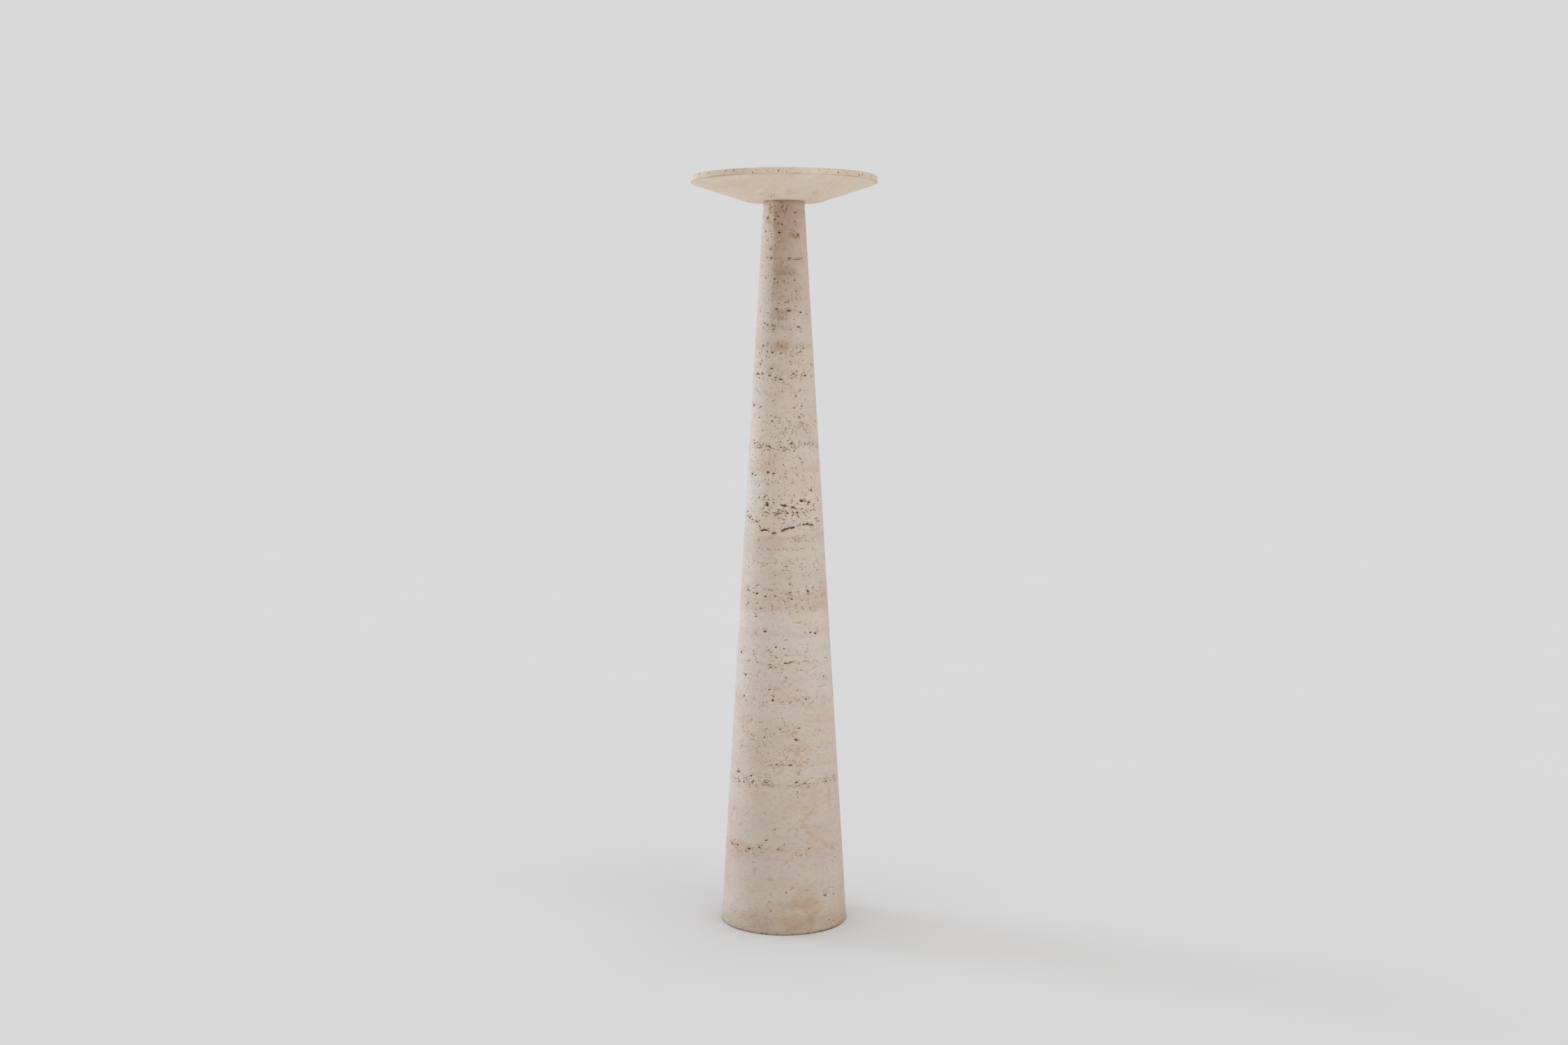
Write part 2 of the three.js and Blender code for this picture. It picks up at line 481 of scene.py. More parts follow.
class HoleCutter:
    """The geometry tree that cuts flat holes out of a turned piece.

    The piece's mesh carries each hole as a loose vertex with its directions and size. The tree sets a cutter
    on each of those, takes them all from the rest of the mesh, and stores how deep each point of a hole lies.
    """

    SIZE = "hole_size"
    OUT = "hole_out"
    SIDE = "hole_side"
    RAGGED = "hole_ragged"
    DEPTH = "hole_depth"
    RIM_DEPTH = 0.3
    BALL_DEPTH = 1.0
    BEAD_DEPTH = 0.4
    SHAPES = 5
    INPUTS = {
        "Geometry": "NodeSocketGeometry",
        "Raggedness": "NodeSocketFloat",
        "Lumps": "NodeSocketFloat",
        "Stone": "NodeSocketMaterial",
    }

    def __init__(self, seed: int) -> None:
        """Builds the tree.

        Args:
            seed: What the cutters' ragged shapes start from.
        """
        self.seed = seed
        self.tree = bpy.data.node_groups.new("hole cutter", "GeometryNodeTree")
        self.graph = Graph(self.tree)
        interface = self.tree.interface
        self.inputs = {
            name: interface.new_socket(name, in_out="INPUT", socket_type=kind).identifier
            for name, kind in self.INPUTS.items()
        }
        interface.new_socket("Geometry", in_out="OUTPUT", socket_type="NodeSocketGeometry")
        given = self.graph.node("NodeGroupInput")
        self.given = {name: Output(self.graph, given.outputs[name]) for name in self.INPUTS}
        self.wire()

    def read(self, name: str, kind: str) -> Output:
        """An attribute of the mesh by its name and type."""
        return self.graph.out("GeometryNodeInputNamedAttribute", {"data_type": kind}, {"Name": name})

    def keep_depth(self, geometry: Output, depth: Output | float, where: Output | bool = True) -> Output:
        """Stores how deep the points of a mesh lie.

        Args:
            geometry: The mesh.
            depth: The depth.
            where: Which of the points it is for.

        Returns:
            The mesh with the depth.
        """
        settings = {"data_type": "FLOAT", "domain": "POINT"}
        sockets = {"Geometry": geometry, "Selection": where, "Name": self.DEPTH, "Value": depth}
        return self.graph.out("GeometryNodeStoreNamedAttribute", settings, sockets)

    def cutter(self, ball: Output, turn: int, deepest: float) -> Output:
        """A ragged ball of radius 1 that knows how deep each of its points lies.

        Args:
            ball: The plain ball.
            turn: Which part of the noise shapes it.
            deepest: How deep its lowest point counts, beyond the rim.

        Returns:
            The ball as one instance.
        """
        graph = self.graph
        place = graph.out("GeometryNodeInputPosition")
        sockets = {"Vector": place, "W": float(turn), "Scale": self.given["Lumps"], "Detail": 2.0}
        lump = graph.out("ShaderNodeTexNoise", {"noise_dimensions": "4D"}, sockets)
        reach = 1.0 + (lump - 0.5) * self.given["Raggedness"]
        moved = graph.out("ShaderNodeVectorMath", {"operation": "SCALE"}, {0: place, "Scale": reach})
        shaped = graph.out("GeometryNodeSetPosition", None, {"Geometry": ball, "Position": moved})
        marked = self.keep_depth(shaped, self.RIM_DEPTH - graph.part(place, Axis.Z) * deepest)
        flat = graph.out("GeometryNodeSetShadeSmooth", None, {"Geometry": marked, "Shade Smooth": False})
        return graph.out("GeometryNodeGeometryToInstance", None, {0: flat})

    def shapes(self, ball: Output, deepest: float) -> Output:
        """A few different ragged balls as a set of instances to pick from."""
        made = [self.cutter(ball, self.seed + turn, deepest) for turn in range(self.SHAPES)]
        return self.graph.out("GeometryNodeJoinGeometry", None, {0: made})

    def cutters(self, points: Output, size: Output) -> list[Output]:
        """Sets a ragged ball on each larger hole and a plain bead on each fine pore.

        Args:
            points: The holes' places.
            size: The holes' sizes.

        Returns:
            The balls and the beads.
        """
        graph = self.graph
        settings = {"primary_axis": "Z", "secondary_axis": "X"}
        sockets = {0: self.read(self.OUT, "FLOAT_VECTOR"), 1: self.read(self.SIDE, "FLOAT_VECTOR")}
        facing = graph.out("FunctionNodeAxesToRotation", settings, sockets)
        ragged = self.read(self.RAGGED, "FLOAT")
        ball = graph.out("GeometryNodeMeshIcoSphere", None, {"Radius": 1.0, "Subdivisions": 2})
        bead = graph.out("GeometryNodeMeshUVSphere", None, {"Radius": 1.0, "Segments": 6, "Rings": 2})
        grades = (
            {"Selection": ragged > 0.5, "Instance": self.shapes(ball, self.BALL_DEPTH)},
            {"Selection": ragged < 0.5, "Instance": self.shapes(bead, self.BEAD_DEPTH)},
        )
        common = {"Points": points, "Pick Instance": True, "Rotation": facing, "Scale": size}
        return [graph.out("GeometryNodeInstanceOnPoints", None, common | grade) for grade in grades]

    def wire(self) -> None:
        """Joins the tree's nodes from its inputs to its output."""
        graph = self.graph
        size = self.read(self.SIZE, "FLOAT_VECTOR")
        sockets = {"Geometry": self.given["Geometry"], "Selection": graph.length(size) > 0.0}
        parts = graph.node("GeometryNodeSeparateGeometry", {"domain": "POINT"}, sockets)
        loose, solid = (Output(graph, socket) for socket in parts.outputs[:2])
        points = graph.out("GeometryNodeMeshToPoints", None, {"Mesh": loose})
        settings = {"operation": "DIFFERENCE", "solver": "MANIFOLD"}
        sockets = {"Mesh 1": solid, "Mesh 2": self.cutters(points, size)}
        cut = graph.node("GeometryNodeMeshBoolean", settings, sockets)
        mesh, rims = (Output(graph, cut.outputs[name]) for name in ("Mesh", "Intersecting Edges"))
        marked = self.keep_depth(mesh, self.RIM_DEPTH, rims)
        realized = graph.out("GeometryNodeRealizeInstances", None, {0: marked})
        sockets = {"Geometry": realized, "Material": self.given["Stone"]}
        done = graph.out("GeometryNodeSetMaterial", None, sockets)
        graph.node("NodeGroupOutput", None, {0: done})

    def cut(
        self,
        piece: bpy.types.Object,
        stone: bpy.types.Material,
        raggedness: float,
        lumps: float,
    ) -> None:
        """Cuts a piece's holes and leaves it a plain mesh.

        Args:
            piece: The piece, with its holes as loose vertices.
            stone: Its material.
            raggedness: How far a cutter's surface strays from a ball.
            lumps: How many lumps it has across.
        """
        modifier = piece.modifiers.new("holes", "NODES")
        modifier.node_group = self.tree
        modifier[self.inputs["Raggedness"]] = raggedness
        modifier[self.inputs["Lumps"]] = lumps
        modifier[self.inputs["Stone"]] = stone
        graph = bpy.context.evaluated_depsgraph_get()
        plain = bpy.data.meshes.new_from_object(piece.evaluated_get(graph))
        piece.modifiers.remove(modifier)
        for name in (self.SIZE, self.OUT, self.SIDE, self.RAGGED):
            if name in plain.attributes:
                plain.attributes.remove(plain.attributes[name])
        plain.materials.clear()
        plain.materials.append(stone)
        plain.polygons.foreach_set("material_index", [0] * len(plain.polygons))
        rough = piece.data
        piece.data = plain
        bpy.data.meshes.remove(rough)
        plain.name = piece.name


@dataclass
class TurnedPiece:
    """A piece turned about the upright axis, with natural holes cut in it."""

    name: str
    slot: str
    seed: int
    steps: int = 240
    raggedness: float = 0.9
    lumps: float = 1.1
    scatter: Scatter = Scatter()

    def __post_init__(self) -> None:
        """Takes up the dice that the piece's chances come from."""
        self.dice = random.Random(self.seed)

    def outline(self) -> list[Ring]:
        """The radius and height of each ring, from the axis at the bottom to the axis at the top."""
        raise NotImplementedError

    def holes(self) -> list[Hole]:
        """The holes to cut."""
        raise NotImplementedError

    def turn(self) -> bmesh.types.BMesh:
        """Turns the outline into a closed mesh.

        Returns:
            The mesh.
        """
        outline = self.outline()
        shape = bmesh.new()
        rings = []
        for radius, height in outline[1:-1]:
            spokes = (round_direction(FULL_TURN * step / self.steps) * radius for step in range(self.steps))
            rings.append([shape.verts.new((spoke.x, spoke.y, height)) for spoke in spokes])
        low = shape.verts.new(upward(outline[0][1]))
        high = shape.verts.new(upward(outline[-1][1]))
        for step in range(self.steps):
            after = (step + 1) % self.steps
            shape.faces.new((low, rings[0][after], rings[0][step]))
            shape.faces.new((high, rings[-1][step], rings[-1][after]))
            for below, above in zip(rings, rings[1:]):
                shape.faces.new((below[step], below[after], above[after], above[step]))
        for face in shape.faces:
            face.smooth = True
        return shape

    def mark_holes(self, shape: bmesh.types.BMesh) -> None:
        """Adds each hole to a mesh as a loose vertex with its directions and size.

        Args:
            shape: The mesh.
        """
        layers = shape.verts.layers
        size = layers.float_vector.new(HoleCutter.SIZE)
        outward = layers.float_vector.new(HoleCutter.OUT)
        sideways = layers.float_vector.new(HoleCutter.SIDE)
        ragged = layers.float.new(HoleCutter.RAGGED)
        for hole in self.holes():
            point = shape.verts.new(hole.place)
            point[size] = Vector((hole.length / 2, hole.opening / 2, hole.depth))
            point[outward] = hole.outward
            point[sideways] = hole.sideways
            point[ragged] = float(hole.ragged)

    def build(self, cutter: HoleCutter, stone: bpy.types.Material) -> bpy.types.Object:
        """Makes the piece, cuts its holes and puts it in its CAD node's place.

        Args:
            cutter: What cuts the holes.
            stone: The piece's material.

        Returns:
            The finished piece.
        """
        shape = self.turn()
        self.mark_holes(shape)
        mesh = bpy.data.meshes.new(self.name)
        shape.to_mesh(mesh)
        shape.free()
        piece = bpy.data.objects.new(f"{self.name}_stone", mesh)
        bpy.context.scene.collection.objects.link(piece)
        cutter.cut(piece, stone, self.raggedness, self.lumps)
        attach(piece, BODY)
        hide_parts(self.name)
        triangles = sum(len(face.vertices) - 2 for face in piece.data.polygons)
        LOG.info("%s: %d triangles", piece.name, triangles)
        return piece


@dataclass
class Shaft(TurnedPiece):
    """The tall shaft: a straight taper with level beds, open holes and one wavy crack.

    Its own shape is in metres. Its holes are in millimetres and degrees, or in shares of a hole's size.
    """

    name: str = "shaft"
    slot: str = "shaft_travertine"
    seed: int = 11
    steps: int = 144
    taper: Taper = Taper()
    foot_arris: float = 0.0012
    neck_arris: float = 0.0008
    row_height: float = 0.006
    depth_share: float = 0.75
    back_angles: Span = (80, 280)
    tear: Tear = Tear()
    void_tilt: float = 10
    bed_share: Span = (0.75, 1.25)
    bed_shrink: float = 0.8
    bed_tilt: float = 14
    crack_step: float = 0.9
    crack_stray: float = 0.22
    crack_length: Span = (1.5, 2.4)
    crack_opening: Span = (0.6, 1.05)
    crack_tilt: float = 12
    crack_pace: Span = (0.8, 1.5)
    level_below: float = 726
    level_pores: PoreHabit = PoreHabit(-0.16, 0.8, 9, 3)
    upper_pores: PoreHabit = PoreHabit(0, 0, 45, 1)
    pore_spread: float = 0.42
    pore_length: Span = (1.3, 2.7)
    pore_heights: Span = (3, 1207)
    largest_pore: float = 2.8
    patch_reach: float = 6
    behind_share: float = 0.6
    foot_chips: int = 34
    chip_length: Span = (2, 7)
    chip_height: Span = (0, 1.2)
    chip_opening: Span = (1, 2.4)
    beds: tuple[Bed, ...] = (
        Bed(1181, 6, (-49, -25, 30), 3, 6, 3.2),
        Bed(1155, 6, (-55, -12, 39), 2, 6, 3.6),
        Bed(1115, 2, (-32, 13, 38), 3, 7, 2.2),
        Bed(1083, 4, (-46, -22, 25), 2, 6, 2.6),
        Bed(1029, 5, (-16, 10, 38, 57), 3, 8, 3),
        Bed(1005, 3, (-36, -19, 30), 2, 5.5, 2.4),
        Bed(938, 4, (-24, 65), 2, 10, 2.6),
        Bed(923, 6, (-57, -28, -16, -6, 18, 43), 4, 8, 3),
        Bed(808, 4, (-57, -36, -25, -5, 12, 56), 5, 7, 2.9),
        Bed(761, 4, (-60, -51, -26, -16), 4, 8, 3.4),
        Bed(711, 7, (-26, -2, 13, 27, 40), 5, 10, 4.2),
        Bed(564, 8, (-56, -38, -25, 10, 33), 5, 7, 3.6),
        Bed(498, 5, (-24, 35, 43), 2, 7, 3.6),
        Bed(452, 2, (2, 62), 2, 11, 2.6),
        Bed(388, 4, (-53, -13), 3, 7, 3.8),
        Bed(323, 7, (-22, 13), 2, 7, 4.2),
        Bed(283, 2, (-8, 7), 2, 9, 2.6),
        Bed(251, 5, (-57, -47, -20, 13, 22, 50, 68), 6, 6.5, 2.6),
        Bed(141, 3, (-52, -36, -25, 25), 4, 8, 2.9),
        Bed(59, 4, (42, 54), 2, 7, 3.2),
    )
    voids: tuple[Void, ...] = (
        Void(1190, 31, 6, 1.8),
        Void(1130, -34, 4.5, 2.5),
        Void(1113, 29, 15, 0.9),
        Void(972, -45, 7.5, 1.8),
        Void(961, -23, 4, 3),
        Void(942, -50, 3, 4),
        Void(874, -67, 11, 3),
        Void(872, -45, 6, 2),
        Void(849, -21, 4, 2.8),
        Void(734, 46, 5, 4),
        Void(711, -26, 6, 5.5),
        Void(710, 0, 11, 4.2),
        Void(698, 20, 4, 3),
        Void(698, 5, 4, 3),
        Void(697, -12, 4, 2.5),
        Void(546, -54, 4, 2.6),
        Void(526, -38, 8, 1.8),
        Void(477, -10, 4, 3),
        Void(462, -65, 6, 4),
        Void(460, -9, 9, 1.2),
        Void(453, 9, 15, 1.5),
        Void(453, 27, 12, 1.0),
        Void(448, -17, 9, 1.4),
        Void(427, -52, 6, 3.4),
        Void(424, 55, 6, 2.4),
        Void(407, -17, 5, 2),
        Void(263, -57, 13, 3),
        Void(261, -37, 6, 3),
        Void(237, 14, 0.9, 4.5),
        Void(228, 14, 0.9, 3),
        Void(176, -9, 2.5, 2.5),
        Void(139, -63, 5, 3),
        Void(71, 2, 2, 4),
    )
    crack: tuple[CrackPiece, ...] = (
        CrackPiece(-72, 697, -67, 697, 1.4),
        CrackPiece(-62, 688, -56, 690, 2.4),
        CrackPiece(-54, 685, -51, 685, 1.8),
        CrackPiece(-45, 683, -40, 682, 2.0),
        CrackPiece(-38, 676, -34, 671, 1.8),
        CrackPiece(-33, 669, -24, 669, 4.2),
        CrackPiece(-24, 669, -21, 667, 1.4),
        CrackPiece(-16, 665, -11, 666, 2.8),
        CrackPiece(-2, 669, 2, 672, 3.6),
        CrackPiece(2, 672, 9, 674, 3.4),
        CrackPiece(9, 674, 14, 674, 4.0),
        CrackPiece(21, 677, 24, 677, 1.4),
        CrackPiece(30, 678, 38, 679, 3.2),
        CrackPiece(41, 677, 48, 676, 2.8),
        CrackPiece(53, 687, 58, 687, 1.8),
        CrackPiece(58, 682, 66, 682, 1.4),
        CrackPiece(88, 685, 97, 687, 2.2),
        CrackPiece(97, 687, 103, 684, 3.2),
        CrackPiece(111, 678, 115, 679, 1.4),
        CrackPiece(126, 674, 139, 671, 2.8),
        CrackPiece(139, 671, 144, 673, 1.6),
        CrackPiece(158, 676, 163, 676, 1.4),
        CrackPiece(171, 681, 186, 684, 2.4),
        CrackPiece(186, 684, 190, 681, 3.2),
        CrackPiece(204, 679, 207, 680, 1.4),
        CrackPiece(219, 673, 233, 670, 2.6),
        CrackPiece(233, 670, 237, 672, 1.6),
        CrackPiece(251, 676, 254, 676, 1.4),
        CrackPiece(264, 684, 271, 688, 2.0),
    )
    pore_beds: tuple[PoreBed, ...] = (
        PoreBed(1203, 4, 4, (-40, -18), 1.3),
        PoreBed(1193, 5, 4, (-46, -30, -15, 2), 1.3),
        PoreBed(1190, 9, 2, (32, 46)),
        PoreBed(1184, 5, 4, (-36, -22, -8), 1.3),
        PoreBed(1176, 4, 4, (-66, -48, -34), 1.3),
        PoreBed(1164, 4, 3, (-40, -22, -8, 2, 30)),
        PoreBed(1150, 6, 3, (-58, -46, -30, -10, 22, 42)),
        PoreBed(1132, 6, 2, (-34, -24, -6, 8)),
        PoreBed(1115, 2, 4, (-42, -30, -8, 6, 24, 44)),
        PoreBed(1104, 4, 3, (-58, -46, -24, -6, 6)),
        PoreBed(1086, 4, 3, (-54, -38, -8, 4, 24)),
        PoreBed(1078, 4, 4, (-44, -20, -4, 10, 68)),
        PoreBed(1062, 6, 4, (-30, -14, -2, 18, 26), 0.75),
        PoreBed(1048, 5, 4, (-46, -28, -4, 14, 24, 36), 0.75),
        PoreBed(1032, 5, 5, (-64, -54, -30, -16, 4, 30, 58), 0.85),
        PoreBed(1023, 4, 5, (-44, -28, -8, 4, 14, 38), 0.85),
        PoreBed(1007, 4, 5, (-46, -34, -22, 6, 26, 40)),
        PoreBed(1001, 3, 5, (-44, -20, 8, 32)),
        PoreBed(978, 5, 4, (-34, -12, 6, 20, 28)),
        PoreBed(971, 3, 5, (-46, -4, 44, 64)),
        PoreBed(961, 5, 7, (-58, -26, -18, 8, 14, 24, 36)),
        PoreBed(949, 5, 5, (-52, -30, -6, 12, 24, 34)),
        PoreBed(929, 4, 6, (-64, -54, -36, -20, -8, 6, 18, 30, 42)),
        PoreBed(922, 4, 7, (-42, -16, -8, 10, 20, 36, 54)),
        PoreBed(909, 4, 4, (-58, -12, -4, 8)),
        PoreBed(896, 5, 5, (-62, -46, -30, -6, 12, 28, 52)),
        PoreBed(882, 4, 5, (-22, 24, 34, 62)),
        PoreBed(871, 4, 6, (-46, 18, 26)),
        PoreBed(857, 4, 5, (-58, -18, -8, 20, 34)),
        PoreBed(848, 5, 6, (-32, -22, -12, 6, 30, 64)),
        PoreBed(841, 5, 7, (-8, 2, 14, 28, 34, 48)),
        PoreBed(832, 4, 6, (-26, -6, 4, 14, 46, 68)),
        PoreBed(821, 5, 4, (-56, -44, -18, -6, 8, 52, 66)),
        PoreBed(810, 4, 7, (-64, -54, -42, -10, 10, 26, 40, 56)),
        PoreBed(805, 3, 8, (-50, -40, -30, -23, -4, 8, 15, 44, 68), 1.6),
        PoreBed(797, 4, 3, (-34, -22, -8, 46, 56)),
        PoreBed(789, 4, 3, (-62, -50, -40, -14, 8, 18, 30)),
        PoreBed(779, 4, 3, (-58, -24, -8, 20)),
        PoreBed(768, 4, 4, (-6, 4, 12, 34)),
        PoreBed(763, 4, 5, (-60, -50, -26, -20, 30, 62)),
        PoreBed(754, 4, 4, (-58, -16, -2, 8, 26, 50)),
        PoreBed(746, 4, 4, (-50, -40, -28, -20, 8, 46)),
        PoreBed(736, 4, 4, (-28, -20, -12, 4, 38, 46)),
        PoreBed(727, 4, 4, (-30, -16, -8, 16, 34)),
        PoreBed(718, 4, 2, (-48, -36, -16, 12, 18, 36, 44, 56), 1.9),
        PoreBed(710, 4, 3, (-34, -26, -14, 0, 22, 30, 50), 2.3),
        PoreBed(703, 4, 3, (-30, -20, -12, -4, 6, 20, 36, 46), 2.3),
        PoreBed(697, 4, 4, (-22, -14, -6, 4, 16, 24, 34), 2.3),
        PoreBed(690, 4, 3, (-58, -18, -8, 2, 18, 42), 2.1),
        PoreBed(683, 4, 6, (-50, -42, -4, 10, 30, 56)),
        PoreBed(672, 4, 5, (-36, -26, -8, 4, 14, 34, 44, 58)),
        PoreBed(658, 4, 5, (0, 14, 20, 28, 64)),
        PoreBed(652, 3, 4, (-36, -20, 12, 20, 38, 52)),
        PoreBed(638, 1.5, 5, (-42, -30, -18, -8, 4, 16, 30, 42)),
        PoreBed(620, 4, 3, (-62, -46, -34, -10, 4, 24, 38)),
        PoreBed(612, 4, 6, (-50, -34, -18, -6, 2, 14, 26, 50)),
        PoreBed(605, 3, 4, (-2, 12, 20, 54)),
        PoreBed(592, 4, 4, (-14, 4, 34)),
        PoreBed(577, 4, 5, (-62, -40, -12, 14, 60)),
        PoreBed(569, 4, 3, (-56, -50, -38, -24, -6, 8, 28, 40, 52), 1.5),
        PoreBed(559, 4, 3, (-64, -20, -8, 4, 12, 20, 26, 36, 48, 68), 1.5),
        PoreBed(552, 4, 4, (-46, -34, -14, -4, 6, 18, 30, 54), 1.2),
        PoreBed(540, 1.5, 4, (-54, -32, -18, -6, 4, 18, 30, 46)),
        PoreBed(531, 3, 4, (-54, -44, -38, -12, 14, 42)),
        PoreBed(515, 4, 3, (-50, -12, 18, 24)),
        PoreBed(501, 4, 3, (-36, -20, 36, 44)),
        PoreBed(491, 4, 3, (-42, -26, 4)),
        PoreBed(474, 4, 3, (-38, -20, -10, 2, 30, 56)),
        PoreBed(464, 4, 6, (-64, -56, -38, -20, -14, -2, 14, 32)),
        PoreBed(453, 2, 5, (-44, -36, -10, 4, 14, 36, 62)),
        PoreBed(442, 4, 3, (-54, -12, -2, 26, 40)),
        PoreBed(434, 4, 3, (-38, -16, -8, 20, 28)),
        PoreBed(424, 4, 4, (-52, -42, -30, 4, 36, 54, 62)),
        PoreBed(409, 4, 4, (-48, -40, -28, -16, -8, 6, 50)),
        PoreBed(399, 4, 3, (-30, -15, 2, 28)),
        PoreBed(389, 3, 5, (-52, -38, -8, 2, 8, 18, 30, 40, 54), 1.1),
        PoreBed(381, 3, 4, (-48, -30, -18, -2, 22, 28, 60)),
        PoreBed(357, 6, 3, (-60, 0, 26, 38)),
        PoreBed(347, 4, 5, (-44, -28, -14, -6, 6)),
        PoreBed(338, 4, 5, (-54, -14, 0, 6, 12, 42)),
        PoreBed(330, 4, 5, (-46, -36, -24, -16, 34)),
        PoreBed(322, 4, 4, (-36, -26, -8, 18)),
        PoreBed(306, 4, 5, (-52, -30, -22, -4, 4, 10, 18, 42)),
        PoreBed(296, 4, 3, (-48, -40, -16, 4, 30)),
        PoreBed(288, 3, 5, (-34, -18, -10, 10, 16, 24)),
        PoreBed(282, 1.2, 6, (-14, -6, 4, 14)),
        PoreBed(270, 4, 5, (-34, -24, -12, -6, 16)),
        PoreBed(260, 3, 4, (-60, -48, -38, -26, -16, 36, 46)),
        PoreBed(253, 2, 6, (-60, -52, -44, -34, -24, -18, -12, 14, 44, 52, 64), 1.25),
        PoreBed(248, 2, 6, (-56, -40, -28, -22, -16, -8, 8, 22, 28, 34, 50), 1.25),
        PoreBed(235, 5, 3, (-36, -22, 14)),
        PoreBed(203, 6, 2, (-40, -18, 24)),
        PoreBed(188, 6, 2, (-66, -26, 14)),
        PoreBed(174, 6, 2, (-44, -8, 11)),
        PoreBed(158, 6, 2, (-36, -20, 12)),
        PoreBed(149, 3, 3, (-66, -48, -36, -22, 2)),
        PoreBed(140, 3, 4, (-64, -58, -50, -34, -26, -20, -2, 24), 1.4),
        PoreBed(133, 3, 4, (-56, -48, -36, -28, 6, 12, 20, 30, 56)),
        PoreBed(118, 6, 3, (-29, 4)),
        PoreBed(104, 5, 3, (-28, 45, 55)),
        PoreBed(74, 4, 3, (8, 22, 38)),
        PoreBed(61, 4, 3, (-12, 38, 44, 54)),
        PoreBed(47, 4, 2, (-40, -30, -12, 4), 0.9),
        PoreBed(38, 5, 2, (-28, -14, 32, 52), 0.9),
        PoreBed(24, 6, 3, (-56, -40, -26, -16, -6, 22), 0.8),
        PoreBed(11, 5, 3, (-60, -44, -30, -16, 0, 14, 28, 46, 64), 0.8),
    )

    def outline(self) -> list[Ring]:
        """The foot with its worn edge, even rows up the side, and the top that carries the plate.

        Returns:
            The radius and height of each ring.
        """
        taper = self.taper
        rows = round(taper.height / self.row_height)
        heights = [taper.height * row / rows for row in range(1, rows)]
        top = taper.height - self.neck_arris
        return [
            (0.0, 0.0),
            (taper.foot_radius / 2, 0.0),
            (taper.foot_radius - self.foot_arris, 0.0),
            (taper.radius(self.foot_arris), self.foot_arris),
            *((taper.radius(height), height) for height in heights),
            (taper.radius(top), top),
            (taper.neck_radius - self.neck_arris, taper.height),
            (taper.neck_radius / 2, taper.height),
            (0.0, taper.height),
        ]

    def hole(self, angle: float, height: float, length: float, opening: float, ragged: bool = True) -> Hole:
        """A hole in the shaft's side.

        Args:
            angle: Its angle round the axis.
            height: Its height in millimetres.
            length: Its length in millimetres.
            opening: Its opening in millimetres.
            ragged: Whether it is a larger hole with a ragged wall, or a fine pore.

        Returns:
            The hole.
        """
        around = round_direction(angle)
        outward = (around + upward(self.taper.lean())).normalized()
        place = around * self.taper.radius(height * MM) + upward(height * MM)
        side = round_direction(angle + QUARTER_TURN)
        depth = self.depth_share * opening
        return Hole(place, outward, side, length * MM, opening * MM, depth * MM, ragged)

    def turn_of(self, length: float, height: float) -> float:
        """The angle that a length round the shaft spans at a height, both in millimetres."""
        return math.degrees(length * MM / self.taper.radius(height * MM))

    def torn(self, void: Void) -> list[Hole]:
        """One larger hole with a torn outline: a ragged middle with two small lobes.

        Args:
            void: The hole's place, size and tilt.

        Returns:
            The holes that make it.
        """
        dice = self.dice
        tear = self.tear
        slope = math.tan(math.radians(void.tilt))
        middle = self.hole(void.angle, void.height, void.length * tear.middle, void.opening)
        made = [middle.turned(void.tilt)]
        for side in (-1, 1):
            along = side * void.length * dice.uniform(*tear.offset)
            up = along * slope + void.opening * dice.uniform(-tear.rise, tear.rise)
            height = max(void.height + up, tear.lowest)
            angle = void.angle + self.turn_of(along, void.height)
            length = void.length * dice.uniform(*tear.length)
            lobe = self.hole(angle, height, length, void.opening * dice.uniform(*tear.opening), False)
            made.append(lobe.turned(void.tilt + dice.uniform(-tear.turn, tear.turn)))
        return made

    def bed_voids(self, bed: Bed) -> list[Void]:
        """The holes of one open bed, first those seen from the front and then those behind.

        Args:
            bed: The bed.

        Returns:
            Its holes.
        """
        between = self.scatter.between
        angles = list(bed.front)
        for step in range(bed.behind):
            angles.append(between(step + bed.height, self.scatter.angle_ratio, *self.back_angles))
        made = []
        for step, angle in enumerate(angles):
            mark = step + bed.height
            share = between(mark, self.scatter.size_ratio, *self.bed_share) * self.bed_shrink
            height = bed.height + between(mark, self.scatter.height_ratio, -bed.stray, bed.stray)
            tilt = between(mark, self.scatter.angle_ratio, -self.bed_tilt, self.bed_tilt)
            made.append(Void(height, angle, bed.length * share, bed.opening * share, tilt))
        return made

    def crack_holes(self) -> list[Hole]:
        """The short flat holes that run into each other along each piece of the crack.

        Returns:
            The holes.
        """
        dice = self.dice
        stray = self.crack_stray
        made = []
        for piece in self.crack:
            middle = (piece.start_height + piece.end_height) / 2
            step = self.turn_of(piece.opening * self.crack_step, middle)
            run = (piece.end - piece.start) / self.turn_of(1.0, middle)
            tilt = math.degrees(math.atan2(piece.end_height - piece.start_height, run))
            angle = piece.start
            while angle <= piece.end:
                height = piece.height(angle) + piece.opening * dice.uniform(-stray, stray)
                length = piece.opening * dice.uniform(*self.crack_length)
                opening = piece.opening * dice.uniform(*self.crack_opening)
                hole = self.hole(angle, height, length, opening)
                made.append(hole.turned(tilt + dice.gauss(0, self.crack_tilt)))
                angle += step * dice.uniform(*self.crack_pace)
        return made

